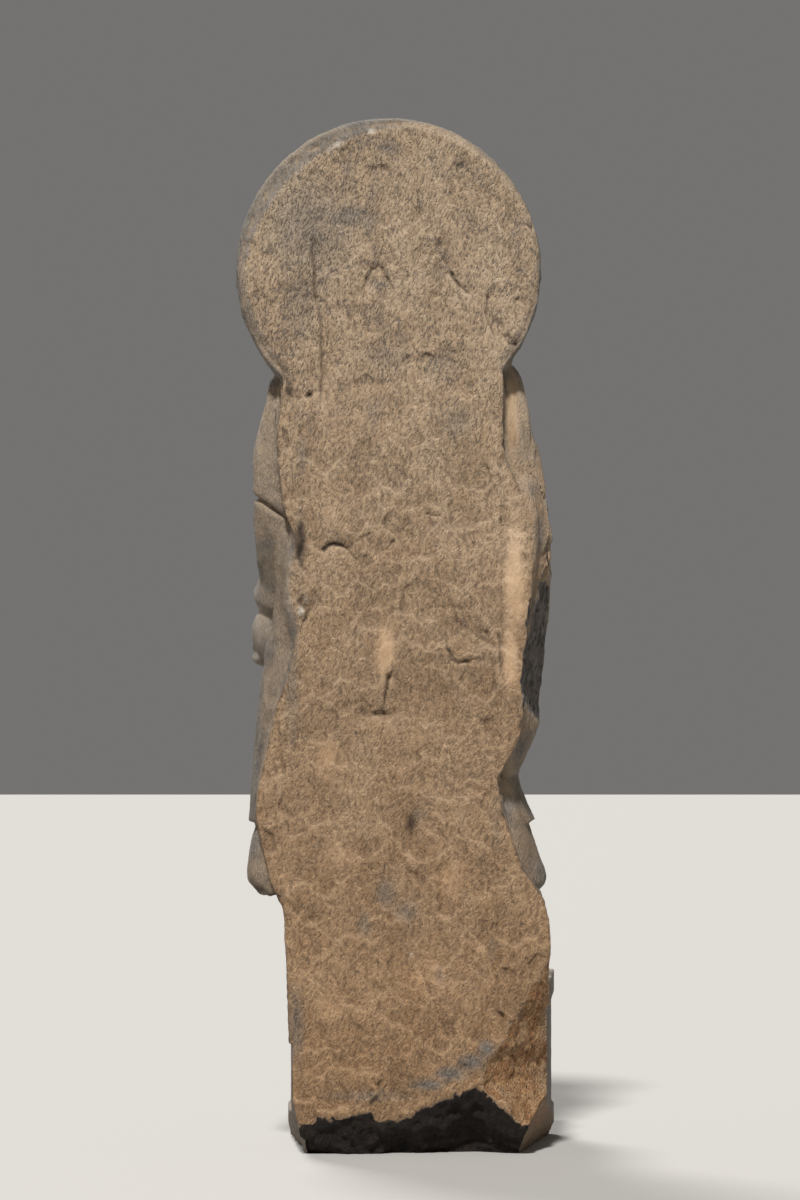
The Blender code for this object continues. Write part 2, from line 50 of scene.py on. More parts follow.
camera_data.sensor_height = 24
camera_data.lens = 24 * 4.9 / 1.2


def placed(name, data):
    """A new object made of that data, in the scene."""
    made = bpy.data.objects.new(name, data)
    bpy.context.scene.collection.objects.link(made)
    return made


camera = placed("camera", camera_data)
camera.location = (-0.002, 5.0, 0.556)
camera.rotation_euler = (math.pi / 2, 0, math.pi)
bpy.context.scene.camera = camera

# The block: a plinth with a fillet above and below, the slab that backs the figure, and the halo. All of
# it is the one stone, roughed out with a point and left like that behind. Its edges are sawn and rubbed.
PLINTH_HEIGHT = 0.172
PLINTH_DEPTH = 0.210
PLINTH_LEFT = 0.1145
PLINTH_RIGHT = 0.1625
PLINTH_TAPER_LEFT = 0.006
PLINTH_TAPER_RIGHT = 0.012
TOP_FILLET = 0.024
FOOT_FILLET = 0.034
FILLET_PROJECTION = 0.006
GROUND_MARGIN = 0.006
BACK_Y = PLINTH_DEPTH / 2
SLAB_THICKNESS = 0.030
SLAB_FRONT_Y = BACK_Y - SLAB_THICKNESS
UNIT = 0.001
FIGURE_X = 0.0045
SUNK = -18
HALO_RADIUS = 0.153
HALO_THICKNESS = 0.031
HALO_CENTRE = (5, 714)
SLAB_EDGES = [
    (-60, 105, -153), (10, 107, -156), (35, 108, -157), (58, 109, -156), (77, 112, -153), (90, 118, -148),
    (105, 124, -137), (122, 128, -127), (150, 135, -117), (172, 138, -110), (194, 136, -106),
    (205, 134, -105), (220, 131, -113), (237, 128, -122), (258, 123, -129), (281, 117, -132),
    (310, 107, -133), (342, 100, -134), (364, 93, -136), (384, 95, -138), (428, 94, -141),
    (453, 102, -139), (472, 109, -134), (503, 114, -124), (524, 116, -112), (554, 116, -109),
    (612, 110, -109), (650, 96, -96),
]


def at(x, depth, z):
    """Figure units to metres: x from the figure's line, depth forward of the slab, z up from the plinth."""
    return np.stack(np.broadcast_arrays(
        FIGURE_X + np.asarray(x) * UNIT, SLAB_FRONT_Y - np.asarray(depth) * UNIT,
        PLINTH_HEIGHT + np.asarray(z) * UNIT), axis=-1).astype(float)


def through(rows, steps):
    """Rows made finer by a cubic that passes through each of them, with slopes from their neighbours."""
    knots = np.asarray(rows, float)
    padded = np.vstack([2 * knots[0] - knots[1], knots, 2 * knots[-1] - knots[-2]])
    place = np.linspace(0, len(knots) - 1, (len(knots) - 1) * steps + 1)
    index = np.minimum(place.astype(int), len(knots) - 2)
    t = (place - index)[:, None]
    a, b, c, d = (padded[index + shift] for shift in range(4))
    return 0.5 * (2 * b + (c - a) * t + (2 * a - 5 * b + 4 * c - d) * t**2 + (3 * b - a - 3 * c + d) * t**3)


lumps = []


def add_lump(grid):
    """A closed lump from a grid of points, rows by sides: quads between rows, a flat cap on each end."""
    rows, sides = grid.shape[:2]
    index = np.arange(rows * sides).reshape(rows, sides)
    after = np.roll(index, -1, axis=1)
    quads = np.stack([index[:-1], after[:-1], after[1:], index[1:]], axis=-1).reshape(-1, 4)
    lumps.append((grid.reshape(-1, 3), quads, [index[0, ::-1], index[-1]]))


def add_loft(rows, steps=5, sides=96):
    """Level sections skinned over: each is a superellipse between a left, right, front and back limit."""
    z, left, right, front, back, power = through(rows, steps).T[:, :, None]
    turn = np.linspace(0, 2 * math.pi, sides, endpoint=False)
    across = np.sign(np.cos(turn)) * np.abs(np.cos(turn)) ** (2 / power)
    forward = np.sign(np.sin(turn)) * np.abs(np.sin(turn)) ** (2 / power)
    add_lump(at((left + right) / 2 + (left - right) / 2 * across,
                (front + back) / 2 + (front - back) / 2 * forward, z + 0 * turn))


def add_box(low, high):
    """A box as a lump: four corners of the lower face, then the same four above."""
    (x0, y0, z0), (x1, y1, z1) = low, high
    ring = np.array([(x0, y0), (x1, y0), (x1, y1), (x0, y1)], float)
    grid = np.stack([np.column_stack([ring, np.full(4, z)]) for z in (z0, z1)])
    grid[:, 2:, 0] += np.array([-PLINTH_TAPER_LEFT, PLINTH_TAPER_RIGHT])
    add_lump(grid)


front_y = -PLINTH_DEPTH / 2
inset = FILLET_PROJECTION / 2
add_box((-PLINTH_RIGHT + inset, front_y + FILLET_PROJECTION, -GROUND_MARGIN),
        (PLINTH_LEFT - inset, BACK_Y, PLINTH_HEIGHT))
add_box((-PLINTH_RIGHT, front_y, PLINTH_HEIGHT - TOP_FILLET), (PLINTH_LEFT, BACK_Y, PLINTH_HEIGHT))
add_box((-PLINTH_RIGHT, front_y, -GROUND_MARGIN), (PLINTH_LEFT, BACK_Y, FOOT_FILLET))
add_loft([(z, left, right, 0, -SLAB_THICKNESS / UNIT, 12) for z, left, right in SLAB_EDGES], 3)

halo_x, halo_z = at(HALO_CENTRE[0], 0, HALO_CENTRE[1])[[0, 2]]
halo_turn = np.linspace(0, 2 * math.pi, 240, endpoint=False)
# The rubbed chamfer behind the rim is wide on the upper left, narrow on the upper right, and
# about a centimetre low down on both sides. Angles start at the figure's left and go up.
chamfer = np.interp(np.degrees(halo_turn), [0, 30, 60, 85, 100, 150, 180, 215, 235, 310, 330, 360],
                    [8, 16, 17, 12, 7, 5, 5, 10, 12, 12, 10, 8]) * UNIT
halo_front = BACK_Y - HALO_THICKNESS
halo_rings = []
for radius, y in ((0.004, BACK_Y), (HALO_RADIUS - chamfer, BACK_Y),
                  (HALO_RADIUS - chamfer * 0.4, BACK_Y - 0.005),
                  (HALO_RADIUS - 0.001, BACK_Y - 0.011), (HALO_RADIUS, BACK_Y - 0.015),
                  (HALO_RADIUS - 0.003, halo_front), (0.004, halo_front)):
    ring = radius + 0 * halo_turn
    halo_rings.append(np.column_stack([halo_x + ring * np.cos(halo_turn), y + 0 * halo_turn,
                                       halo_z + ring * np.sin(halo_turn)]))
add_lump(np.array(halo_rings))

# The figure under its robe: body, legs, arms and the cloth that hangs from them, as bare rounded forms.
# Each row of a loft is height, left, right, front, back and squareness; of a limb x, depth, height, radius.
ROBE = [
    (70, 106, -118, 72, SUNK, 3.0), (90, 116, -143, 82, SUNK, 3.0), (104, 120, -152, 86, SUNK, 3.0),
    (135, 118, -142, 91, SUNK, 2.8), (180, 111, -127, 97, SUNK, 2.6), (218, 106, -116, 101, SUNK, 2.5),
    (310, 100, -105, 104, SUNK, 2.4), (380, 94, -98, 102, SUNK, 2.4), (440, 88, -91, 98, SUNK, 2.3),
    (500, 90, -91, 99, SUNK, 2.3), (545, 98, -98, 95, SUNK, 2.3), (575, 111, -114, 84, SUNK, 2.3),
    (590, 112, -116, 76, SUNK, 2.3), (603, 104, -108, 68, SUNK, 2.2), (617, 84, -86, 58, SUNK, 2.2),
    (633, 58, -53, 46, SUNK, 2.2), (648, 38, -33, 34, SUNK, 2.2),
]
LEFT_FALL = [
    (148, 136, 84, 78, -14, 3.2), (172, 138, 86, 82, -14, 3.2), (237, 134, 88, 86, -12, 3.0),
    (303, 127, 86, 88, -8, 2.8), (332, 124, 86, 84, -6, 2.6), (350, 122, 84, 66, -6, 2.4),
    (390, 118, 82, 52, -6, 2.4), (450, 116, 80, 40, -6, 2.4),
]
UNDER_LEFT = [(89, 134, 84, 62, -16, 3.0), (104, 145, 84, 66, -16, 3.2), (124, 144, 84, 68, -16, 3.2),
              (150, 140, 84, 68, -14, 3.0)]
RIGHT_FALL = [
    (214, -90, -121, 76, -10, 2.8), (233, -88, -129, 82, -12, 2.8), (263, -86, -141, 88, -14, 3.0),
    (320, -86, -147, 92, -14, 3.0), (385, -86, -151, 94, -10, 3.0), (425, -88, -150, 92, -4, 2.8),
    (450, -92, -144, 86, 2, 2.6),
]
LEFT_ARM = [
    (84, 26, 590, 33), (95, 24, 548, 34), (102, 24, 508, 34), (103, 25, 496, 33.5),
    (108, 27, 485, 31.5), (109, 36, 448, 30), (109, 56, 408, 26), (111, 68, 388, 23),
]
RIGHT_ARM = [
    (-86, 26, 592, 34), (-97, 24, 552, 34), (-108, 26, 500, 33.5), (-115, 32, 455, 33),
    (-116, 46, 432, 33), (-115, 76, 440, 30), (-113, 100, 458, 28), (-112, 124, 478, 26),
]
WRIST_ROLL = [(112, 66, 393, 27), (113, 70, 386, 28), (114, 73, 379, 24)]
RIGHT_LEG = [(-45, 46, 80, 34), (-47, 56, 150, 42), (-46, 64, 240, 47), (-44, 60, 330, 48),
             (-40, 44, 400, 46)]
LEFT_LEG = [(49, 42, 80, 33), (50, 50, 150, 39), (51, 68, 228, 45), (48, 62, 320, 47), (42, 44, 400, 46)]
NECK = [(4, 30, 610, 40), (4, 38, 650, 31), (4, 44, 700, 29)]
COLLAR = [
    (46, 6, 646, 9), (40, 40, 636, 10), (20, 68, 618, 10.5), (-4, 76, 609, 10.5), (-26, 66, 617, 10),
    (-41, 38, 634, 9.5), (-45, 6, 646, 9),
]


def add_limb(stations, steps=6, sides=28):
    """Circles carried along a smooth line, with a quarter round closing each end."""
    rows = through(stations, steps)
    centre, radius = at(*rows[:, :3].T), rows[:, 3] * UNIT
    along = np.gradient(centre, axis=0)
    along /= np.linalg.norm(along, axis=1, keepdims=True)
    bend = np.radians([80, 50, 20])
    start = centre[0] - along[0] * (radius[0] * np.sin(bend))[:, None]
    end = centre[-1] + along[-1] * (radius[-1] * np.sin(bend[::-1]))[:, None]
    centre = np.vstack([start, centre, end])
    radius = np.concatenate([radius[0] * np.cos(bend), radius, radius[-1] * np.cos(bend[::-1])])
    along = np.vstack([np.tile(along[0], (3, 1)), along, np.tile(along[-1], (3, 1))])
    spare = np.eye(3)[np.argmin(np.abs(along).max(axis=0))]
    side = np.cross(along, spare)
    side /= np.linalg.norm(side, axis=1, keepdims=True)
    up = np.cross(side, along)
    turn = np.linspace(0, 2 * math.pi, sides, endpoint=False)[None, :, None]
    add_lump(centre[:, None] + radius[:, None, None]
             * (np.cos(turn) * side[:, None] + np.sin(turn) * up[:, None]))


def add_ball(centre, radii):
    """A ball stretched to three radii: across, forward and up."""
    rise = np.linspace(-0.49 * math.pi, 0.49 * math.pi, 40)[:, None]
    turn = np.linspace(0, 2 * math.pi, 64, endpoint=False)[None]
    add_lump(at(centre[0] + radii[0] * np.cos(rise) * np.cos(turn),
                centre[1] + radii[1] * np.cos(rise) * np.sin(turn),
                centre[2] + radii[2] * np.sin(rise) + 0 * turn))


for rows in (ROBE, LEFT_FALL, UNDER_LEFT, RIGHT_FALL):
    add_loft(rows)
for stations in (LEFT_ARM, RIGHT_ARM, WRIST_ROLL, RIGHT_LEG, LEFT_LEG, NECK, COLLAR):
    add_limb(stations)

# Stone left between slab and sleeves, so that the rough back runs out to the cloth on both sides.
add_ball((-133, -5, 446), (14, 23, 62))
add_ball((95, -6, 398), (17, 23, 62))

# The left hand closes round a gathered edge of the robe, with its fingers in front and its thumb above.
add_ball((122, 78, 350), (23, 24, 30))
add_limb([(113, 84, 374, 8), (106, 96, 368, 8), (101, 104, 360, 6.5)])
for finger in range(4):
    low, back = 11 * finger, 2 * finger
    add_limb([(138, 84 - back, 358 - low, 6.6), (128, 101 - back, 354 - low, 7.2),
              (114, 104 - back, 351 - low, 6.8), (104, 96 - back, 350 - low, 5.6)])

# Bare feet, turned out a little on the plinth, each with an ankle, an instep, a ball and five toes.
for x, turn in ((-48, 1), (50, -1)):
    toe_x = x - 7 * turn
    add_limb([(x, 50, 96, 21), (x, 50, 60, 18), (x, 54, 30, 18), (x, 58, 8, 17)])
    add_limb([(x, 44, 13, 15), (x - turn, 74, 18, 18), (x - 4 * turn, 108, 12, 18), (toe_x, 132, 7, 15)])
    add_limb([(toe_x - 13, 122, 6, 9), (toe_x, 128, 8, 11), (toe_x + 13, 122, 6, 9)])
    for toe in range(5):
        start = toe_x + (toe - 2) * 7.8 * turn
        reach = 154 - 3.5 * toe
        size = 6.8 if toe == 0 else 4.9
        add_limb([(start, 128, 6, size), (start, reach - 9, 6.5, size), (start, reach, 4.5, size * 0.86)])

# The head, tied to the halo by a neck of stone: skull, jaw, bun and long ears. Its face is an even one on
# plain thirds: hair to brow, brow to nose and nose to chin are alike, and the eyes are half closed.
FACE_X = 4
CHIN_Z = 673
EYE_Z = 736
CROWN_Z = 796
EAR_X = 49
EYE_X = 21
add_ball((FACE_X, 48, 743), (49, 57, 56))
add_ball((FACE_X, 62, 704), (38, 40, 36))
add_ball((FACE_X, 46, 796), (30, 31, 28))
add_ball((FACE_X, 6, 735), (40, 20, 48))
for side in (-1, 1):
    ear_x = FACE_X + side * EAR_X
    add_limb([(ear_x - side, 46, 750, 6), (ear_x + side, 42, 738, 8), (ear_x, 45, 720, 6),
              (ear_x - 2 * side, 48, 700, 5.5), (ear_x - 5 * side, 49, 684, 6)])

# One skin is drawn round all of these lumps at the size of a chisel's finest mark, and softened by wear.
GRAIN = 0.0016
heap = bpy.data.meshes.new("lumps")
corners = np.vstack([lump[0] for lump in lumps])
starts = np.cumsum([0] + [len(lump[0]) for lump in lumps])
faces = []
for start, (_, quads, caps) in zip(starts, lumps):
    faces += (quads + start).tolist() + [(cap + start).tolist() for cap in caps]
heap.from_pydata(corners.tolist(), [], faces)
rough_out = placed("rough_out", heap)
skin = rough_out.modifiers.new("one skin", "REMESH")
skin.mode = "VOXEL"
skin.voxel_size = GRAIN
wear = rough_out.modifiers.new("worn edges", "SMOOTH")
wear.factor = 0.5
wear.iterations = 4
stone = bpy.data.meshes.new_from_object(rough_out.evaluated_get(bpy.context.evaluated_depsgraph_get()))
bpy.data.objects.remove(rough_out)
count = len(stone.vertices)


def vectors(items, name):
    """One value of each item of a mesh, as the rows of an array."""
    flat = np.empty(len(items) * 3, np.float32)
    items.foreach_get(name, flat)
    return flat.reshape(-1, 3).astype(float)


points = vectors(stone.vertices, "co")
normals = vectors(stone.vertex_normals, "vector")
ends = np.empty(len(stone.edges) * 2, np.int32)
stone.edges.foreach_get("vertices", ends)
ends = ends.reshape(-1, 2)
neighbours = np.bincount(ends.ravel(), minlength=count)
x = (points[:, 0] - FIGURE_X) / UNIT
depth = (SLAB_FRONT_Y - points[:, 1]) / UNIT
z = (points[:, 2] - PLINTH_HEIGHT) / UNIT
facing = -normals[:, 1]


def even_out(values, share, times):
    """Each point's vector moved towards the mean of its neighbours' by a share, some times over."""
    for _ in range(times):
        mean = np.stack([np.bincount(ends[:, 0], values[ends[:, 1], k], count)
                         + np.bincount(ends[:, 1], values[ends[:, 0], k], count) for k in range(3)], axis=1)
        values = values + np.reshape(share, (-1, 1)) * (mean / neighbours[:, None] - values)
    return values


def ramp(value, low, high):
    """0 below low and 1 above high, with a smooth step between: 3t squared less 2t cubed."""
    t = np.clip((value - low) / (high - low), 0, 1)
    return t * t * (3 - 2 * t)


def hill(distance, width):
    """A rounded ridge: 1 on its line, falling as the exponential of minus distance over width squared."""
    return np.exp(-((distance / width) ** 2))


def zigzag(t):
    """Straight lines up and down between 0 and 1, once in each whole step of t."""
    return 2 * np.abs(t - np.floor(t) - 0.5)


def clouds(places, size, seed, octaves=1):
    """Smooth chance values from 0 to 1: random numbers on a lattice, blended between its corners.

    Each further octave has half the size and half the say of the one before.
    """
    table = np.random.default_rng(seed).random((64, 64, 64))
    total, say = 0.0, 0.0
    for octave in range(octaves):
        place = places / size * 2**octave + 11.7 * octave
        low = np.floor(place).astype(int)
        t = place - low
        t = t * t * (3 - 2 * t)
        for corner in np.ndindex(2, 2, 2):
            value = table[tuple(((low + corner) & 63).T)]
            total = total + value * np.where(corner, t, 1 - t).prod(axis=1) / 2**octave
        say += 1 / 2**octave
    return total / say


# The robe: one thin cloth over both shoulders, its folds looped across the body from the left shoulder.
# The ridges are steep below and easy above, with a thin one between each pair, and the hem stands proud.
def fold_ridges(phase):
    """A ridge at each whole number of phase, and a thin one a little past each half."""
    t = phase - np.floor(phase)
    return np.maximum(hill(t, 0.30), hill(1 - t, 0.15)) + 0.35 * hill(t - 0.56, 0.08)


drift = clouds(points, 0.07, 1, 2) - 0.5
wander = clouds(points, 0.045, 2) - 0.5
middle = np.interp(z, [150, 300, 450, 600], [-6, -14, -22, -10])
left_rise = np.interp(z, [120, 300, 440, 520, 620], [30, 78, 120, 105, 70])
right_rise = np.interp(z, [120, 300, 440, 520, 620], [30, 74, 60, 66, 60])
level = (z - left_rise * (np.maximum(x - middle, 0) / 110) ** 1.7
         - right_rise * (np.maximum(middle - x, 0) / 110) ** 1.7 + 9 * drift)
body_folds = (5.6 + 5.5 * wander) * fold_ridges(level / 27 + 0.3 * np.sin(level / 55 + 1))
round_arm = np.abs(x + np.sign(x) * 0.8 * np.maximum(30 - depth, 0))
sleeve_folds = (4.2 + 4 * wander) * fold_ridges((round_arm + 0.42 * z + 8 * drift) / 21)
aside, above_elbow = np.abs(x), ramp(z, 400, 430)
wrapped = aside - 0.8 * depth
pleats = (5.0 + 2 * wander) * zigzag((wrapped + 0.05 * z + 6 * drift) / 17)
pleats *= 1 - 0.55 * ramp(np.abs(normals[:, 0]), 0.6, 0.9) * ramp(z, 150, 175)
on_arm = ramp(aside, 84, 98) * above_elbow
fall_top = np.where(x > 0, 318, 400)
on_fall = ramp(aside, 84, 92) * (1 - ramp(z, fall_top, fall_top + 24))
folds = body_folds * (1 - on_arm) * (1 - on_fall) + sleeve_folds * on_arm + pleats * on_fall
hem = 122 + 16 * (x / 100) ** 2 + 9 * zigzag(x / 17) * ramp(aside, 80, 88)
above_hem = ramp(z, hem - 1.5, hem + 2)
under_pleats = 3.4 * zigzag(wrapped / 15 + 0.5 * drift)
on_forearm = ramp(x, 84, 92) * ramp(z, 340, 350) * (1 - ramp(z, 478, 540))
relief = (above_hem * (folds + 7) + (1 - above_hem) * under_pleats) * (1 - 0.8 * on_forearm)
on_hand = ramp(x, 90, 96) * ramp(z, 306, 314) * (1 - ramp(z, 374, 380)) * ramp(depth, 30, 40)
seen_side = ramp(aside, 88, 96) * above_elbow
on_cloth = ramp(z, 66, 72) * (1 - ramp(z, 622, 640)) * (1 - on_hand) * ramp(depth, -8, 6)
on_cloth *= ramp(facing + 0.4 * seen_side, -0.35, 0.15)
on_body = on_cloth * (1 - on_forearm) * ramp(z, 100, 124) * (1 - ramp(z, 585, 605))
on_skull = ramp(z, 668, 680) * (1 - ramp(z, 770, 780)) * ramp(depth, 14, 20)
points = even_out(points, 0.6 * np.maximum(on_body, 0.5 * on_skull), 30)
between_legs = on_body * (1 - ramp(np.abs(x - 1), 22, 34)) * (1 - above_elbow) * ramp(depth, 40, 60)
points = even_out(points, 0.6 * between_legs, 60)
soft_normals = even_out(normals, 0.6, 12)
soft_normals /= np.linalg.norm(soft_normals, axis=1, keepdims=True)
# At the elbow the sleeve is pushed into a thick roll, with a deep crease under it.
elbow = z - 489 + 0.68 * (140.5 - x)
on_elbow = ramp(x, 84, 92) * ramp(depth, -24, -16) * (1 - ramp(depth, 60, 70))
pushed_up = (1.5 * hill(elbow - 9, 7) - 5.0 * hill(elbow + 1, 2.6)) * on_elbow
slab_edge = np.where(x > 0, ramp(x, 76, 90) * ramp(z, 196, 230) * (1 - ramp(z, 440, 480)),
                     ramp(-x, 104, 118) * above_elbow * (1 - ramp(z, 530, 560)))
slab_edge *= ramp(depth, -32, -24) * (1 - ramp(depth, 20, 30))
points = even_out(points, 0.5 * slab_edge, 60)
carved = points + soft_normals * ((relief * on_cloth + pushed_up) * UNIT)[:, None]

# The face, cut forward from the bare head, and the hair drawn up in thick waves and tied under the bun.
u = np.abs(x - FACE_X)
w = z - EYE_Z
brow_line = 9 + 6 * np.sin(math.pi * np.clip((u - 2) / 38, 0, 1)) ** 0.8
under_brow = ramp(brow_line - w, 0, 4) * (1 - ramp(brow_line - w, 15, 27))
socket = -5.6 * under_brow * ramp(u, 4, 9) * (1 - ramp(u, 33, 42))
brow = 1.6 * hill(w - brow_line - 1, 2.2) * ramp(u, 2, 7) * (1 - ramp(u, 34, 42))
from_eye = u - EYE_X
eye = 6.4 * np.sqrt(np.clip(1 - (from_eye / 13.5) ** 2 - ((w + 1) / 8.6) ** 2, 0, 1))
lid_line = -2.6 + 0.022 * from_eye**2
open_eye = (ramp(lid_line - w, 0, 1.2) * ramp(w + 7.2 - 0.02 * from_eye**2, 0, 1.2)
            * (1 - ramp(np.abs(from_eye), 10, 12)))
eye = (eye - 1.5 * open_eye
       - 0.9 * hill(w - 5.5 + 0.02 * from_eye**2, 1.2) * (1 - ramp(np.abs(from_eye), 10, 13)))
nose_height = np.interp(w, [-31, -28, -24, -10, 3, 12, 18], [0, 10, 14.5, 10.5, 6, 2.2, 0])
nose = nose_height * hill(u, np.interp(w, [-27, -18, 6], [8.6, 6.6, 5.0])) ** 0.8
wings = 5.0 * hill(np.hypot(u - 8.6, (w + 25) * 1.1), 4.2)
mound = 2.6 * hill(np.hypot(u / 20, (w + 40) / 13), 1)
upper_lip = 3.0 * hill(w + 37.2 - 0.9 * np.cos(u / 3.2) * (u < 9), 2.7)
lower_lip = 3.8 * hill(w + 45, 3.3)
lips = ((upper_lip + lower_lip) * (1 - ramp(u, 9, 17))
        - 2.8 * hill(w + 41 - 0.006 * u**2, 1.2) * (1 - ramp(u, 13, 18)))
corners_of_mouth = -1.6 * hill(np.hypot(u - 16.5, w + 40), 3)
chin = 5.0 * hill(np.hypot(u * 0.85, w + 57), 10) - 1.2 * hill(np.hypot(u * 0.5, w + 50.5), 3)
cheeks = 1.8 * hill(np.hypot(u - 27, w + 18), 14)
dot = 1.5 * ramp(3.4 - np.hypot(u, w - 21), 0, 1.2)
on_head = ramp(z, CHIN_Z - 14, CHIN_Z - 4) * ramp(depth, 16, 24)
on_face = on_head * ramp(facing, 0.05, 0.45) * (1 - ramp(u, 42, 47)) * ramp(depth, 40, 56)
face = socket + brow + eye + nose + wings + mound + lips + corners_of_mouth + chin + cheeks + dot
hairline = EYE_Z + 34 - 26 * (u / 46) ** 2.4
turned = np.arctan2(x - FACE_X, depth - 40)
waves = zigzag(turned * 26 / (2 * math.pi) + 0.34 * np.sin(z / 5.2)) ** 0.8
tie = hill(z - (CROWN_Z - 11) + 0.006 * u**2, 2.6) * (1 - ramp(u, 26, 40))
in_hair = np.maximum(ramp(z, hairline - 1.2, hairline + 1.2), ramp(40 - depth, -4, 4) * ramp(z, 735, 745))
on_ear = ramp(u, 43, 46) * (1 - ramp(z, 752, 758))
hair = (in_hair * (2.6 + 2.6 * waves) - 3.5 * tie) * on_head * (1 - on_ear) * ramp(z, 700, 712)
carved[:, 1] -= face * on_face * (1 - in_hair) * UNIT
carved += normals * (hair * UNIT)[:, None]
sag = 0.01 * (x - FACE_X) ** 2
neck_lines = (hill(z - 655 - sag, 1.3) + hill(z - 664 - sag, 1.3)) * (u < 34)
carved[:, 1] += 1.3 * UNIT * neck_lines * ramp(facing, 0.1, 0.4) * (depth > 40)

# Low carving: a plain line inside the rim of the halo, and four-petalled flowers between posts on the
# die of the plinth.
from_centre = np.hypot(points[:, 0] - halo_x, points[:, 2] - halo_z)
carved[:, 1] += (0.0016 * hill(from_centre - HALO_RADIUS + 0.014, 0.0024) * ramp(facing, 0.7, 0.9)
                 * (depth < 8) * (z > 560))
die = PLINTH_HEIGHT - TOP_FILLET - FOOT_FILLET
pitch = (PLINTH_LEFT + PLINTH_RIGHT) / 4
place = (points[:, 0] + PLINTH_RIGHT) / pitch
across = (place - np.floor(place) - 0.5) * pitch
up = points[:, 2] - FOOT_FILLET - die / 2
from_heart = np.hypot(across, up)
petal = np.abs(np.cos(2 * np.arctan2(up, across))) ** 0.55
flower = (ramp(0.029 * (0.42 + 0.58 * petal) - from_heart, 0, 0.004)
          * (0.45 + 0.55 * ramp(from_heart, 0.006, 0.017)))
flower = flower * (1 - 0.35 * hill(np.minimum(np.abs(across), np.abs(up)), 0.0015)
                   * ramp(from_heart, 0.009, 0.012))
heart = ramp(0.008 - from_heart, 0, 0.003)
post = ramp(np.abs(across), pitch / 2 - 0.008, pitch / 2 - 0.005) * ramp(die / 2 - np.abs(up), 0, 0.003)
on_die = ramp(facing, 0.7, 0.9) * (points[:, 2] > FOOT_FILLET) * (points[:, 2] < PLINTH_HEIGHT - TOP_FILLET)
carved[:, 1] -= 0.006 * np.maximum(np.maximum(flower, heart), 0.8 * post) * on_die
points = carved

# The rough back: the mason's point struck dished scars one over another, mostly downwards, each of them
# feathered where the blow began and steep where the chip broke off. Between them the schist has come away
# in thin sheets, which leaves low ledges. The halo's scars are fainter.
behind = ramp(points[:, 1], BACK_Y - 0.009, BACK_Y - 0.002)
scarred = np.flatnonzero(behind > 0)
px, pz = points[scarred, 0], points[scarred, 2]
chance = np.random.default_rng(7)
cut = np.zeros(len(scarred))
HALO_FROM = 0.74
# Each row: how many, least and greatest radius, least and greatest bite, lowest and highest place.
BLOWS = [(210, 0.013, 0.027, 0.0028, 0.0062, 0.04, 0.72), (620, 0.006, 0.013, 0.0008, 0.0028, 0.03, 0.75),
         (90, 0.014, 0.030, 0.0010, 0.0030, HALO_FROM, 1.03),
         (330, 0.006, 0.014, 0.0006, 0.0020, HALO_FROM, 1.04)]
for blows, least, most, lightest, hardest, lowest, highest in BLOWS:
    for _ in range(blows):
        cx, cz = chance.uniform(-0.162, 0.162), chance.uniform(lowest, highest)
        radius, bite = chance.uniform(least, most), chance.uniform(lightest, hardest)
        strike = math.radians(chance.normal(-90, 28)
                              + (180 if cz > HALO_FROM and chance.random() < 0.5 else 0))
        near = np.flatnonzero((np.abs(px - cx) < 1.4 * radius) & (np.abs(pz - cz) < 1.4 * radius))
        dx, dz = px[near] - cx, pz[near] - cz
        along = (dx * math.cos(strike) + dz * math.sin(strike)) / (1.15 * radius)
        over = (-dx * math.sin(strike) + dz * math.cos(strike)) / radius
        bearing = np.arctan2(over, along)
        rim = (1 + 0.12 * np.sin(3 * bearing + chance.uniform(0, 6))
               + 0.08 * np.sin(7 * bearing + chance.uniform(0, 6)))
        reach = (along**2 + over**2) / rim**2
        scar = bite * (0.05 + 0.95 * (along + 1) / 2) * np.clip(1 - reach**10, 0, 1)
        cut[near] = np.maximum(cut[near], scar)
# Dust caked into a smooth skin: x, height, reach across and up in millimetres, and how much.
CAKED = [(-117, 572, 12, 66, 0.85), (-113, 500, 9, 40, 0.8), (-115, 735, 8, 50, 0.55),
         (12, 502, 11, 34, 0.8), (-52, 278, 20, 26, 0.5), (60, 300, 26, 20, 0.4), (70, 400, 20, 22, 0.5),
         (-30, 180, 34, 26, 0.35), (70, 150, 24, 20, 0.35), (-88, 210, 22, 20, 0.3),
         (66, 640, 18, 26, 0.3), (-20, 420, 20, 18, 0.3), (20, 730, 16, 22, 0.25)]


def spots_of(rows, places):
    """The strongest of some soft ovals at each place: the exponential of minus distance squared."""
    best = np.zeros(len(places))
    for cx, cz, across_mm, up_mm, strength in rows:
        best = np.maximum(best, strength * np.exp(-(((places[:, 0] / UNIT - cx) / across_mm) ** 2
                                                    + ((places[:, 2] / UNIT - cz) / up_mm) ** 2)))
    return best


back_points = points[scarred]
broad = clouds(back_points, 0.11, 3) - 0.5
sheets = clouds(back_points * (1.35, 1, 0.65), 0.042, 12, 3) * 9
ledges = np.floor(sheets) + ramp(sheets - np.floor(sheets), 0, 0.13) - 4.5
crevices = (1 - 2 * np.abs(clouds(back_points * (1.4, 1, 0.75), 0.0080, 4, 3) - 0.5)) ** 6
crumbs = clouds(back_points * (1.5, 1, 0.6), 0.0060, 14, 2) - 0.5
crumbled = spots_of([(99, 612, 10, 22, 1.0), (97, 550, 9, 14, 1.0), (110, 762, 14, 6, 0.7),
                     (-13, 332, 6, 9, 0.6)], back_points)

caked = spots_of(CAKED, points)
rubbed = 1 - 0.85 * np.clip(caked[scarred] * 1.3, 0, 1)
rolling = clouds(back_points * (1.8, 1, 0.6), 0.040, 18, 2) - 0.5
hew = rubbed * (1.1 * cut + UNIT * (0.8 * ledges + 1.1 * crevices + (1.4 + 5 * crumbled) * crumbs))
hew += UNIT * (2.0 + 5.0 * broad + 1.6 * rolling)

